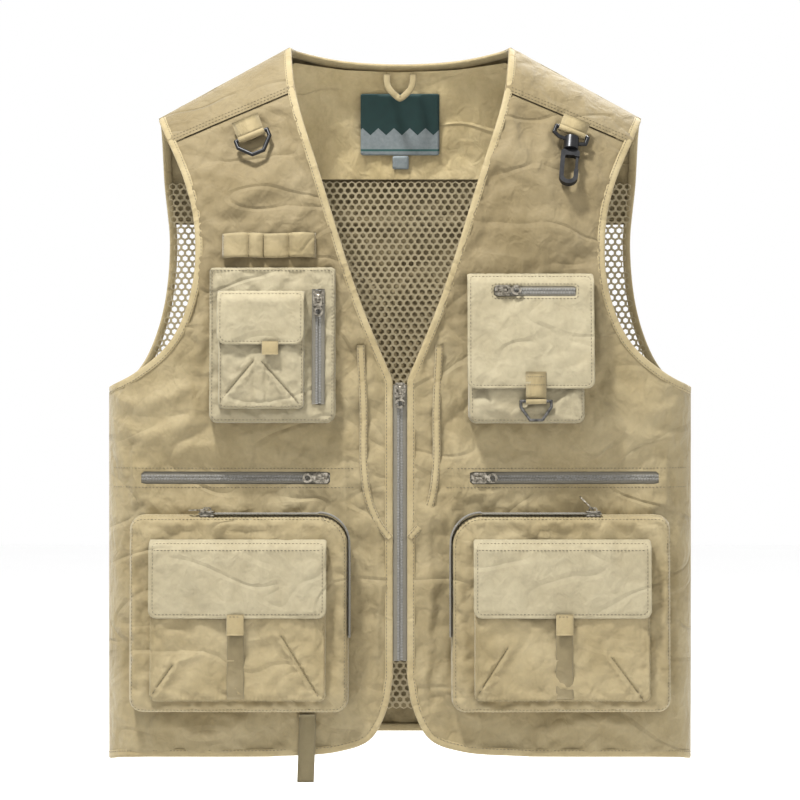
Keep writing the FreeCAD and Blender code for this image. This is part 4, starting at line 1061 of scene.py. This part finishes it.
def ribbon(name, centre, across, normal, half, thick, material, slot, seed=0.0):
    """A flat tape swept along a line."""
    run = run_of(centre)
    ripple = np.array([noise.fractal(Vector((r / 12.0, seed, 0)), 0.8, 2.0, 2) for r in run]) * 0.15
    section = [(-half, ripple), (-half + 0.5, thick + ripple), (0, thick * 1.05 + ripple),
               (half - 0.5, thick + ripple), (half, ripple), (0, -0.1 + ripple)]
    points, faces = sweep(centre, across, normal, section)
    return make(name, points, faces, material, swept_uv(centre, section))


for side in (-1, 1):
    zs = np.linspace(-8.4, 371, 96)
    centre = np.stack([np.full(96, side * 298.7), 0 * zs, zs], 1)
    across, normal = np.tile((0, 1.0, 0), (96, 1)), np.tile((float(side), 0, 0), (96, 1))
    seam = ribbon(WORDS[side] + "_side_seam", centre, across, normal, 5.2, 0.8,
        khaki, "khaki_cloth", 9 + side)
    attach(seam, "vest_back")
    for offset in (-3.8, 3.8):
        stitch("back", centre + across * offset + normal * 0.85, normal)


def frames(shell, line, out, step=3.5):
    """Centre, across and normal of a tape lying on the cloth along an x-z line."""
    uv = shell.uv(along(line, step))
    n = shell.normal(uv)
    centre = shell.at(uv) + n * out
    return centre, np.cross(tangents(centre), n), n


for side in (-1, 1):
    word = WORDS[side]
    line = smooth([(-39.5, 412), (-36.5, 350), (-36, 290), (-31, 256), (-20.5, 232), (-10, 219)])
    line = flipped(line, side)
    centre, across, n = frames(front_shell, line, 1.0)
    tape = ribbon(word + "_curved_tape", centre, across, n, 3.9, 0.9, tape_cloth, "binding", 3 + side)
    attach(tape, word + "_front")
    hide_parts(word + "_trim_tape")
    for offset in (-2.7, 2.7):
        stitch(word + "_front", centre + across * offset + n * 1.0, n)

    # Tapes under the yoke seam and along the shoulder ridge close the shoulder.
    line = flipped([(-221, float(seam_z(221))), (-108, float(seam_z(108)))], side)
    under = ribbon(word + "_yoke_seam_tape", *frames(front_shell, line, -2.8), 6.5, 0.7, khaki_front,
        "khaki_cloth", 5 + side)
    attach(under, "vest_back")
    xs = np.linspace(250.5, 115, 40)
    centre = np.stack([side * xs, 0 * xs, ridge(xs) - 0.35], 1)
    normal = np.tile(np.array((side * SLOPE, 0, 1)) / math.hypot(SLOPE, 1), (40, 1))
    over = ribbon(word + "_shoulder_tape", centre, np.tile((0, 1.0, 0), (40, 1)), normal, 6.0, 0.6, khaki,
        "khaki_cloth", 7 + side)
    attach(over, "vest_back")

# ---------------------------------------------------------------- pockets as height fields over x-z


def bag(name, box, radii, front, back, body, slot_nodes, wall=4.0, crown=2.0, shape=2.6, step=4.5,
        strokes=(), holes=(), seed=0.0, rough=1.0, material=None, under=None, grow=0.034, bulge=3.0,
        pressure=0.5):
    """A cloth pocket that stands out from back(x, z) to front(x, z), rounded at its edges."""
    x0, x1, z0, z1 = box
    step = step * 1
    loop = rounded(*box, radii, min(step, 4.0))
    rings = []
    for d in (0.35, 0.9, 1.8, 3.2, 5.2, 8.0):
        rr = [max(0.3, r - d) for r in radii]
        rings.append(rounded(x0 + d, x1 - d, z0 + d, z1 - d, rr, min(step, 4.0)))
    for line, width, _ in strokes:
        if width < 4:
            run = along(line, 2.0)
            t = np.array(run[-1]) - run[0]
            t = np.array((-t[1], t[0])) / np.linalg.norm(t)
            rings += [run[1:-1] + t * off for off in (-2.6, -1.2, 0, 1.2, 2.6)]
    rings = [r[box_distance(r, *box, radii) > 8.6] if k > 5 else r for k, r in enumerate(rings)]
    rings = [r for r in rings if len(r)]
    points, faces = fill(loop, step, holes, rings)
    d = np.maximum(0, box_distance(points, *box, radii))
    rise = (1 - (1 - np.clip(d / wall, 0, 1)) ** shape) ** (1 / shape)
    x, z = points[:, 0], points[:, 1]
    yb, yf = back(x, z), front(x, z)
    swell = crown * ease(d / 34)
    out = rough * (0.9 * wave(points, 34, seed) + 0.45 * wave(points, 13, seed + 3)) * ease(d / 9)
    pucker = np.sin((x + z) / 5.5 + 3 * wave(points, 30, seed + 6))
    out += rough * 0.95 * pucker * np.exp(-((d - 6) / 7) ** 2) * ease(d / 4)
    for line, width, height in strokes:
        out += crease(points, smooth(line), width, height) * ease(d / 5)
    y = yb + (yf + 1.4 - yb) * rise - (swell + out)
    y -= 1.3 * np.exp(-((d - 1.6) / 1.0) ** 2) - 0.7 * np.exp(-((d - 4.2) / 1.3) ** 2)
    out3 = np.stack([x, y, z], 1)
    # The cloth's flat layout: the walls are folded out beside the face.
    cx, cz = (x0 + x1) / 2, (z0 + z1) / 2
    wide = np.abs(x - cx) - (x1 - x0) / 2 > np.abs(z - cz) - (z1 - z0) / 2
    way = np.stack([np.where(wide, np.sign(x - cx), 0), np.where(wide, 0, np.sign(z - cz))], 1)
    flat = points + way * np.maximum(0, y - yf)[:, None]
    piece = make(name, out3, facing_front(out3, faces), material or khaki_pocket, flat)
    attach(piece, body)
    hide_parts(*slot_nodes)
    pinned = 1 - ease((d - 3.5) / 8)
    if under is not None:
        pinned = np.maximum(pinned, box_distance(points, *under, [3] * 4) > 3)
    for hole in holes:
        pinned = np.maximum(pinned, away(points, hole, True) < 4)
    for line, width, _ in strokes:
        if width < 3:
            pinned = np.maximum(pinned, away(points, line) < 1.4)
    return crumples(piece, pinned, grow, bulge, 2.5, pressure)


def plane(y0, z0, lean):
    """Y of a leaning front face, as a function of x and z."""
    slope = math.tan(math.radians(-lean))
    return lambda x, z: y0 + (z - z0) * slope + 0 * x


def cloth_y(x, z):
    return surface_y(x, z) - 0.2


def dart_lines(tab_left, tab_right, foot_left, foot_right):
    """A patch pocket's two darts: each a sharp valley with a fold beside it."""
    lines = []
    for top, foot, step in ((tab_left, foot_left, -1), (tab_right, foot_right, 1)):
        lines.append(([top, foot], 1.2, -2.2))
        beside = [(top[0] - step * 3.8, top[1] - 1.5), (foot[0] - step * 3.8, foot[1] - 1.5)]
        lines.append((beside, 3.2, 1.3))
        lines.append(([(top[0] + step * 4, top[1]), (foot[0] + step * 4, foot[1])], 3.0, 0.5))
    return lines


# Wearer's right chest pocket.
chest_r = plane(-119.0, 412.5, -4.0)
CR = (-190.5, -64.3, 333.8, 489.6)
CRP = (-180.5, -95.0, 348.2, 456.5)
slot_r = rounded(-126.5 + 40.5, -126.5 + 50.0, 352.5, 467.7, [1, 1, 1, 1], 3.0)
bag("right_chest_bag", CR, [8, 10, 4, 4], chest_r, cloth_y, "right_front", ["right_chest_pocket"],
    wall=4.0, crown=0.6, strokes=[([(-188, 345), (-140, 340), (-90, 345)], 5, 1.4)], holes=[slot_r],
    seed=61, rough=0.8, under=CRP, material=khaki_chest)


def patch_front(base):
    """Front face of a patch pocket on a leaning face."""
    return lambda x, z: base(x, z) - 9.6


def patch_back(base):
    """Where a patch pocket's rim sits, just behind the face that it is sewn to."""
    return lambda x, z: base(x, z) + 1.6


darts = dart_lines((-145, 396), (-138, 396), (-179, 355), (-99, 352))
darts += [([(-145, 398), (-145, 352)], 1.6, -1.4), ([(-133, 398), (-133, 352)], 1.6, -1.4)]
bag("right_chest_patch", CRP, [5, 5, 3, 3], patch_front(chest_r), patch_back(chest_r), "right_front",
    ["right_chest_patch_pocket"], wall=2.2, crown=0.2, seed=64, material=khaki_chest, rough=0.5, bulge=1.2,
    pressure=0.0, strokes=darts)

# Wearer's left chest pocket.
chest_l = plane(-123.0, 410.0, -7.0)
CL = (68.0, 184.0, 333.5, 474.0)
strokes = [([(72, 352), (110, 346), (150, 352)], 5, 2.0), ([(150, 340), (165, 360), (181, 366)], 4, 1.6)]
bag("left_chest_bag", CL, [8, 8, 1, 1], chest_l, cloth_y, "left_front", ["left_chest_pocket"], wall=4.5,
    crown=1.0, seed=67, strokes=strokes, rough=0.9, material=khaki_chest)

# Cargo pockets.
cargo = plane(-130.0, 145.5, -2.5)


def cargo_boxes(side):
    """A cargo pocket's outline and corner radii, and its patch pocket's and flap's outlines."""
    radii = [14, 14, 30, 14] if side < 0 else [14, 14, 14, 30]
    box = (*sorted((side * 270.0, side * 51.0)), 46.2, 242.6)
    patch_box = (side * PATCH_X - 87.0, side * PATCH_X + 87.0, 59.2, 209.5)
    flap_box = (side * PATCH_X - 87.8, side * PATCH_X + 87.8, 141.5, 218.9)
    return box, radii, patch_box, flap_box


DARTS = {-1: (((-224, 96), (-248, 62)), ((-118, 125), (-80, 63))),
         1: (((107, 113), (77, 66)), ((208, 104), (240, 61)))}
for side in (-1, 1):
    word = WORDS[side]
    box, radii, patch_box, _ = cargo_boxes(side)
    strokes = [
        ([(side * 266, 200), (side * 262, 130), (side * 266, 80)], 4, 2.4),
        ([(side * 58, 170), (side * 62, 110), (side * 56, 70)], 4, 2.2),
        ([(side * 240, 52), (side * 170, 55), (side * 100, 52)], 4, 1.8),
        ([(side * 230, 236), (side * 150, 233), (side * 90, 236)], 4, 1.6),
    ]
    bag(word + "_cargo_bag", box, radii, cargo, cloth_y, word + "_front", [word + "_cargo_pocket"],
        wall=6.0, crown=0.9, shape=2.8, strokes=strokes, seed=70 + side, rough=1.25, under=patch_box)
    (top_a, foot_a), (top_b, foot_b) = DARTS[side]
    darts = dart_lines(top_a, top_b, foot_a, foot_b)
    if side < 0:
        darts += [([(-224, 96), (-200, 108)], 3, 1.0), ([(-118, 125), (-150, 118)], 3, 1.0)]
    bag(word + "_cargo_patch", patch_box, [6, 6, 3, 3], patch_front(cargo), patch_back(cargo),
        word + "_front", [word + "_cargo_patch_pocket"], wall=2.4, crown=0.2, strokes=darts,
        seed=75 + side, rough=0.6, bulge=1.4, pressure=0.0)

# ---------------------------------------------------------------- flaps


def flap(name, body, box, corner, base, seam, front, tab, seed, hole=None, slot_nodes=()):
    """A flap: turned over its seam at the top, hanging down with a little curl, and its hold-down tab."""
    x0, x1, z0, z1 = box
    loop = rounded(x0, x1, z0, z1, [corner, corner, 0.5, 0.5], 3.2)
    holes = [hole] if hole is not None else []
    step = 3.8
    rings = []
    for g in (1.6, 3.4, 5.2):
        radii = [max(0.4, corner - g)] * 2 + [0.4] * 2
        rings.append(rounded(x0 + g, x1 - g, z0 + g, z1 - g, radii, 3.2))
    points, faces = fill(loop, step, holes, rings)
    x, z = points[:, 0], points[:, 1]
    d = np.maximum(0, box_distance(points, x0, x1, z0, z1, [corner, corner, 0.5, 0.5]))
    turn = ease((z1 - z) / 9.5)
    y = base(x, z) + seam + (front - seam) * turn
    low = 1 - np.clip((z - z0) / (z1 - z0), 0, 1)
    out = (0.8 * wave(points, 38, seed) + 0.35 * wave(points, 14, seed + 2)) * turn
    out += 0.7 * low * np.sin(x / 19.0 + seed) * turn - 0.5 * (1 - ease(d / 3.5)) * turn
    out += 0.5 * np.exp(-((d - 1.6) / 1.3) ** 2) * turn
    out -= 0.45 * np.exp(-((d - 3.4) / 0.9) ** 2) * turn
    out -= 0.5 * np.exp(-((z1 - 10.5 - z) / 1.2) ** 2)
    if hole is not None:
        out *= ease(away(points, hole, True) / 14)
    y = y - out
    full = np.stack([x, y, z], 1)
    piece = make(name, full, facing_front(full, faces), khaki_flap, points)
    pinned = (z > z1 - 3) | (d < 0.5)
    if hole is not None:
        pinned |= away(points, hole, True) < 5
    crumples(piece, pinned, 0.012, 1.6, 0.6, 0.0, 1.5)
    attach(piece, body)
    if slot_nodes:
        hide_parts(*slot_nodes)
    if tab:
        cx, half, top, foot = tab
        tab_piece(name + "_tab", body, cx, half, top, foot, lambda zz: base(cx, zz) + front - 1.0)


def tab_piece(name, body, cx, half, top, foot, y_of):
    """A short doubled tape, sewn on at its top and free at its foot."""
    zs = np.linspace(top, foot, 14)
    centre = np.stack([np.full(14, cx), y_of(zs), zs], 1)
    centre[:, 1] -= 0.8 * np.sin(np.linspace(0, math.pi, 14)) + 0.3
    across = np.tile((1.0, 0, 0), (14, 1))
    normal = np.tile((0, -1.0, 0), (14, 1))
    section = [(-half, 0), (-half + 0.5, 0.9), (-half * 0.4, 1.15), (half * 0.4, 1.15), (half - 0.5, 0.9),
               (half, 0), (half - 0.5, -0.5), (-half + 0.5, -0.5)]
    points, faces = sweep(centre, across, normal, section)
    piece = make(name, points, faces, tape_cloth, swept_uv(centre, section))
    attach(piece, body)


FLAP_SEAM, FLAP_FRONT = -1.8, -12.6
RIGHT_FLAP, LEFT_FLAP = (-181.5, -95.0, 412.0, 465.8), (67.0, 193.0, 368.3, 483.4)
flap("right_chest_flap_cloth", "right_chest_flap", RIGHT_FLAP, 9, chest_r, FLAP_SEAM, FLAP_FRONT,
     (-128.5, 8.2, 415.5, 402.0), 81, slot_nodes=["right_chest_flap"])
hole_l = rounded(128 - 34.5, 128 + 47.0, 465.1 - 4.9, 465.1 + 4.9, [1, 1, 1, 1], 3.0)
flap("left_chest_flap_cloth", "left_chest_flap", LEFT_FLAP, 8, chest_l, 7.6, -5.2, None, 84, hole=hole_l,
     slot_nodes=["left_chest_flap"])
for side in (-1, 1):
    word = WORDS[side]
    flap_box = cargo_boxes(side)[3]
    flap(word + "_cargo_flap_cloth", word + "_cargo_flap", flap_box, 8, cargo, FLAP_SEAM, FLAP_FRONT,
         (side * 162.2, 8.6, 146.0, 125.3), 87 + side, slot_nodes=[word + "_cargo_flap"])

# ---------------------------------------------------------------- zips

TOOTH = [(-0.42, -0.95), (0.42, -0.95), (0.62, 0.0), (0.42, 0.95), (-0.42, 0.95), (-0.62, 0.0)]


def zipper(name, body, points, normal, half, sides=(-1, 1), replaced=()):
    """Tapes and a coil chain along a 3D line. normal is the way that the teeth face."""
    p = along(points, 1.5)
    if isinstance(normal, tuple):
        normal = np.tile(normal, (len(p), 1)).astype(float)
    elif len(normal) != len(p):
        s0, s1 = np.linspace(0, 1, len(normal)), np.linspace(0, 1, len(p))
        normal = np.stack([np.interp(s1, s0, normal[:, k]) for k in range(3)], 1)
    normal /= np.linalg.norm(normal, axis=1)[:, None]
    t = tangents(p)
    across = np.cross(t, normal)
    made = []
    for side in sides:
        strip = ((0.05, -0.35), (0.05, 0.3), (1.65, 0.35), (half, 0.3), (half, -0.35))
        section = [(side * w, h) for w, h in strip]
        pts, faces = sweep(p, across, normal, section)
        tape = make(f"{name}_tape_{'a' if side < 0 else 'b'}", pts, faces, zip_tape, swept_uv(p, section))
        made.append(tape)
    verts, faces, uvs = [], [], []
    pitch = 1.55
    run = run_of(p)
    for side in sides:
        for s in np.arange(0.8 + (pitch / 2 if side > 0 else 0), run[-1] - 0.6, pitch):
            fields = (p, t, normal, across)
            c, tt, nn, bb = (np.array([np.interp(s, run, f[:, k]) for k in range(3)]) for f in fields)
            base = len(verts)
            for w, size in ((0.1, 0.72), (0.9, 1.0), (2.5, 1.0), (3.0, 0.6)):
                for a, h in TOOTH:
                    verts.append(c + bb * side * w + tt * a * size + nn * h * size * 1.1)
                    uvs.append((w, s))
            for k in range(3):
                for j in range(6):
                    low, high = base + k * 6, base + (k + 1) * 6
                    m = (j + 1) % 6
                    faces.append((low + j, low + m, high + m, high + j))
            faces.append(tuple(base + j for j in reversed(range(6))))
            faces.append(tuple(base + 18 + j for j in range(6)))
    teeth = make(name + "_teeth", np.array(verts), faces, zip_teeth, np.array(uvs))
    made.append(teeth)
    for piece in made:
        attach(piece, body)
        if replaced:
            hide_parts(*replaced)


for side in (-1, 1):
    word = WORDS[side]
    zipper(word + "_main_zip", word + "_front", [(0, -104, 96), (0, -104, 372)], (0, -1, 0), 7.6,
           sides=(side,), replaced=[f"main_zip_{word}"])
    x_in, x_out = side * 67.5, side * 262.0
    y_mid = (float(surface_y(-70.0, WAIST_Z)) + float(surface_y(-259.5, WAIST_Z))) / 2
    dy = (float(surface_y(-259.5, WAIST_Z)) - float(surface_y(-70.0, WAIST_Z))) / 2
    ends = [(x_in, y_mid - dy, WAIST_Z), (x_out, y_mid + dy, WAIST_Z)]
    zipper(word + "_waist_zip", word + "_front", ends, (0, -1, 0), 8.0, replaced=[word + "_waist_zip"])

zip_x = -126.5 + 45.25
ends = [(zip_x, float(chest_r(0, z)) - 0.6, z) for z in (352.8, 467.4)]
zipper("right_chest_zip", "right_front", ends, (0, -1, 0), 6.4, replaced=["right_chest_zip"])
lz = 465.1
ly = float(chest_l(0, lz)) - 4.45
zipper("left_flap_zip", "left_chest_flap", [(93.8, ly, lz), (174.7, ly, lz)], (0, -1, 0.12), 6.9,
       replaced=["left_flap_zip"])

for side in (-1, 1):
    word = WORDS[side]
    # Along the pocket's top, round its inner corner and down its inner side; the pocket leans 2.5 degrees.
    lean = math.radians(2.5)
    top = 145.5 + 98.9 * math.cos(lean) - 8.5 * math.sin(lean)
    y_top = -130 + 8.5 + 98.9 * math.sin(lean)
    line = [(x, y_top, top) for x in np.linspace(-200.5, -81, 30)]
    normals = [(0, 0, 1)] * 30
    corner = 30.6
    for a in np.radians(np.linspace(90, 0, 16)):
        z = 145.5 + 69.5 + corner * math.sin(a) - 0.6
        line.append((-81 + corner * math.cos(a), y_top + (top - z) * -0.0436, z))
        normals.append((math.cos(a), 0, math.sin(a)))
    for z in np.linspace(205, 121, 20):
        line.append((-50.2, y_top + (top - z) * -0.0436, z))
        normals.append((1, 0, 0))
    line, normals = np.array(line) * (-side, 1, 1), np.array(normals) * (-side, 1, 1)
    zipper(word + "_cargo_zip", word + "_front", line, normals, 6.0, replaced=[word + "_cargo_zip"])

# ---------------------------------------------------------------- tool loops, strap, tabs and hang loop

EDGES = [-177.0, -151.0, -136.5, -111.0, -85.0]
us = []
for x0, x1 in zip(EDGES, EDGES[1:]):
    for t in np.linspace(0, 1, 13)[:-1]:
        us.append((x0 + (x1 - x0) * t, math.sin(math.pi * t) ** 0.55))
us.append((EDGES[-1], 0.0))
rows_z = np.linspace(499.2, 523.8, 9)
grid = []
for z in rows_z:
    for x, lift in us:
        sag = 1.0 + 0.10 * math.sin(z / 3.7 + x / 8.0)
        base = float(surface_y(x, z)) - 1.1
        puff = (6.4 if x < -151 or x > -136.5 else 5.0) * lift * sag
        grid.append((x, base - puff, z + 0.5 * math.sin(x / 9.0)))
m = len(us)
faces = []
for j in range(len(rows_z) - 1):
    for i in range(m - 1):
        faces.append((j * m + i, j * m + i + 1, (j + 1) * m + i + 1, (j + 1) * m + i))
grid = np.array(grid)
loops = make("tool_loop_cloth", grid, faces, khaki_pocket, None)
thicken(loops, -1.2)
swinging(loops)
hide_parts("tool_loops")

zs = np.linspace(43, -24.6, 20)
strap_centre = np.stack([-93.5 + 1.2 * np.sin(zs / 30), -108.2 - 0.3 * np.sin(zs / 9), zs], 1)
strap = ribbon("hem_strap", strap_centre, np.tile((1.0, 0, 0), (20, 1)), np.tile((0, -1.0, 0), (20, 1)),
    8.4, 1.5, webbing, "webbing")
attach(strap, "webbing_strap")
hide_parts("webbing_strap")


def shoulder_axes(x, z, roll, out):
    """Origin and axes of a shoulder fitting, as in the CAD."""
    a = math.radians(roll)
    up = (-math.sin(a), math.cos(a))

    def lifted(px, pz):
        return np.array((px, float(surface_y(px, pz)) - out, pz))

    low, high = lifted(x - up[0] * 12, z - up[1] * 12), lifted(x + up[0] * 16, z + up[1] * 16)
    zz = (high - low) / np.linalg.norm(high - low)
    across = np.array((math.cos(a), 0, math.sin(a)))
    yy = np.cross(zz, across)
    yy /= np.linalg.norm(yy)
    return lifted(x, z), np.cross(yy, zz), yy, zz


def folded_tab(name, body, origin, xx, yy, zz, half, length, roll_r, back, replaced, thick=0.9):
    """A cloth tab flat on the cloth, rolled round a bar at its foot."""
    turn = np.radians(np.linspace(90, 395, 16))
    roll = np.stack([-roll_r * np.cos(turn), roll_r * np.sin(turn)], 1)
    path = np.vstack([smooth([(back, length), (back, length * 0.6), (back, 6.0)], 3.0), roll])
    centre = np.array([origin + yy * y + zz * z for y, z in path])
    across = np.tile(xx, (len(centre), 1))
    normal = np.cross(across, tangents(centre))
    section = [(-half, -thick / 2), (-half + 0.4, thick / 2), (0, thick * 0.6), (half - 0.4, thick / 2),
               (half, -thick / 2), (0, -thick / 2)]
    points, faces = sweep(centre, across, normal, section)
    piece = make(name, points, faces, tape_cloth, swept_uv(centre, section))
    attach(piece, body)
    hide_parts(*replaced)


ring_axes = shoulder_axes(-150.0, 624.0, 22.0, 5.0)
hook_axes = shoulder_axes(174.0, 628.0, -22.0, 9.5)
folded_tab("ring_tab", "vest_back", *ring_axes, 14.2, 21.5, 3.1, -0.6, ["shoulder_tabs"])
folded_tab("hook_tab", "vest_back", *hook_axes, 14.2, 17.5, 3.1, -0.6, ["shoulder_tabs"])
lean = math.radians(7)
ty, tz = np.array((0, math.cos(lean), -math.sin(lean))), np.array((0, math.sin(lean), math.cos(lean)))
tab_origin = np.array((128.0, -123.0, 410.0)) + ty * -4.4 + tz * -55.0 + np.array((6.5, 0, 0))
folded_tab("chest_tab", "left_chest_flap", tab_origin, np.array((1.0, 0, 0)), ty, tz, 10.2, 29.0, 2.7,
    -2.2, ["chest_ring_tab"])

loop_path = [(13.8, 703), (13.6, 694), (11.5, 687), (4.5, 679.5), (0.4, 676.6), (-0.4, 676.6),
    (-4.5, 679.5), (-11.5, 687), (-13.6, 694), (-13.8, 703)]
path = smooth(loop_path, 2.0)
centre = np.stack([path[:, 0], np.full(len(path), 45.0), path[:, 1]], 1)
normal = np.tile((0, -1.0, 0), (len(centre), 1))
across = np.cross(tangents(centre), normal)
hang = ribbon("hang_ribbon", centre, across, normal, 3.4, 0.6, tape_cloth, "webbing")
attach(hang, "vest_back")
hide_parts("hang_loop")

settle()

# ---------------------------------------------------------------- stitching on the finished pieces


def inset(box, d, radii):
    x0, x1, z0, z1 = box
    loop = rounded(x0 + d, x1 - d, z0 + d, z1 - d, [max(0.4, r - d) for r in radii])
    return np.vstack([loop, loop[:1]])


for side in (-1, 1):
    word = WORDS[side]
    body, swing = word + "_front", word + "_swing"
    names = [fronts[side]]
    for offset in (3.0, 6.5):
        line = flipped([(-232, float(seam_z(232)) + offset), (-110, float(seam_z(110)) + offset)], side)
        topstitch("back", [word + "_front_yoke"], line)
    for dz in (-9.6, 9.6):
        topstitch(body, names, flipped([(-290, WAIST_Z + dz), (-44, WAIST_Z + dz)], side))
    cargo_box, radii, patch_box, flap_box = cargo_boxes(side)
    topstitch(body, [word + "_cargo_bag"], inset(cargo_box, 4.2, radii))
    topstitch(body, [word + "_cargo_bag"], inset(patch_box, 2.6, [6, 6, 3, 3]))
    topstitch(word + "_cargo_flap", [word + "_cargo_flap_cloth"], inset(flap_box, 4.0, [8, 8, 1, 1]))
    topstitch(word + "_cargo_flap", [word + "_cargo_flap_cloth"],
        [(flap_box[0] + 4, 208.6), (flap_box[1] - 4, 208.6)])
    tab_x = side * 162.2
    points, normals = seat([word + "_cargo_patch"], [(tab_x, z) for z in np.linspace(127, 62, 22)],
        lift=0.5)
    for field in (points, normals):
        for _ in range(4):
            field[1:-1] = (field[:-2] + field[1:-1] + field[2:]) / 3
    strip = ribbon(word + "_cargo_strip", points, np.tile((1.0, 0, 0), (len(points), 1)), normals, 8.4,
        0.35, strip_cloth, "khaki_cloth")
    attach(strip, body)
    for top, foot in DARTS[side]:
        topstitch(body, [word + "_cargo_patch"], [top, foot], length=3.4, pitch=3.6, radius=0.34)
    topstitch(word + "_cargo_flap", [word + "_cargo_flap_cloth_tab"],
        [(tab_x - 6.6, 143.5), (tab_x + 6.6, 143.5)])
topstitch("right_front", ["right_chest_bag"], inset(CR, 3.4, [8, 10, 4, 4]))
topstitch("right_front", ["right_chest_patch"], inset(CRP, 2.6, [5, 5, 3, 3]))
for line in (((-145, 396), (-179, 355)), ((-138, 396), (-99, 352))):
    topstitch("right_front", ["right_chest_patch"], line, length=3.4, pitch=3.6, radius=0.34)
topstitch("right_chest_flap", ["right_chest_flap_cloth"],
    inset(RIGHT_FLAP, 3.2, [9, 9, 1, 1]))
topstitch("left_front", ["left_chest_bag"], inset(CL, 3.6, [8, 8, 1, 1]))
topstitch("left_chest_flap", ["left_chest_flap_cloth"],
    inset(LEFT_FLAP, 3.2, [8, 8, 1, 1]))
topstitch("left_chest_flap", ["left_chest_flap_cloth"],
    inset((93.5, 175.0, 460.2, 470.0), -2.4, [1, 1, 1, 1]))
for dx in (-2.2, 2.2):
    for x in (-168 - dx + 4, 168 + dx - 4):
        topstitch("vest_back", ["back_body"], [(x, 262), (x, 540)], front=False)
for dz in (3, 6.5):
    topstitch("vest_back", ["back_yoke"], [(-240, 543 + dz), (240, 543 + dz)], front=False)
topstitch("vest_back", ["back_body"], [(-290, 258.5), (290, 258.5)], front=False)
for x in EDGES:
    foot = x + (1 if x == EDGES[0] else -1 if x == EDGES[-1] else 0)
    topstitch("right_swing", ["tool_loop_cloth"], [(foot, 500.5), (x, 523)], pitch=2.8, length=2.0)
for z in (372, 380):
    topstitch("left_chest_flap", ["chest_tab"], [(125.5, z), (143.5, z)], pitch=2.2, length=1.6)

for key, verts in stitch_points.items():
    piece = make("stitching_" + key, np.array(verts), stitch_faces[key], thread, None)
    if key.endswith("_swing"):
        swinging(piece)
    else:
        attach(piece, "vest_back" if key == "back" else key)
for side in (-1, 1):
    swinging(bpy.data.objects[fronts[side]])

# ---------------------------------------------------------------- metal and plastic kept from the CAD

for name, node in nodes.items():
    if name.endswith("_slider") or name.endswith("_pull"):
        material = antique
    elif name == "chest_d_ring":
        material = gunmetal
    elif name in ("shoulder_d_ring", "hook_eye", "hook_body", "hook_gate"):
        material = black
    else:
        continue
    for index in range(max(1, len(node.material_slots))):
        if not node.material_slots:
            node.data.materials.append(material)
        node.material_slots[index].material = material
    bevel = node.modifiers.new("soft_edges", "BEVEL")
    bevel.width = 0.0003 if material is antique else 0.0006
    bevel.segments = 2
    bevel.limit_method = "ANGLE"
    bevel.angle_limit = math.radians(40)

# ---------------------------------------------------------------- studio


def slab(name, points, colour):
    mesh = bpy.data.meshes.new(name)
    mesh.from_pydata(points, [], [(0, 1, 2, 3)])
    piece = bpy.data.objects.new(name, mesh)
    n = Nodes(name)
    darker = tuple(c * 0.985 for c in colour)
    piece.data.materials.append(n.finish(n.mix(n.noise(0.4, 2, space="Object"), colour, darker), rough=0.9))
    bpy.context.scene.collection.objects.link(piece)


slab("floor", [(-8, -8, -0.95), (8, -8, -0.95), (8, 8, -0.95), (-8, 8, -0.95)], (0.97, 0.97, 0.97))
scene = bpy.context.scene
world = bpy.data.worlds.new("studio")
world.use_nodes = True
world.node_tree.nodes["Background"].inputs[0].default_value = (1, 1, 1, 1)
world.node_tree.nodes["Background"].inputs[1].default_value = 1.0
scene.world = world


def lamp(name, place, target, size, power):
    light = bpy.data.lights.new(name, "AREA")
    light.shape = "DISK"
    light.size = size
    light.energy = power
    piece = bpy.data.objects.new(name, light)
    piece.location = place
    piece.rotation_euler = (Vector(target) - Vector(place)).to_track_quat("-Z", "Y").to_euler()
    scene.collection.objects.link(piece)


lamp("key", (-0.65, -1.0, 1.95), (0, -0.1, -0.35), 0.32, 96)
lamp("fill", (1.4, -1.6, 0.9), (0, -0.1, -0.35), 1.0, 8)
lamp("rear", (0.9, 1.5, 1.5), (0, 0.1, -0.35), 0.5, 45)

camera = bpy.data.cameras.new("camera")
camera.sensor_width = 36
camera.lens = 112.5
view = bpy.data.objects.new("camera", camera)
view.location = (0, -2.65, -0.333)
view.rotation_euler = (math.radians(90), 0, 0)
scene.collection.objects.link(view)
scene.camera = view
scene.view_settings.view_transform = "Standard"
scene.view_settings.gamma = 0.85
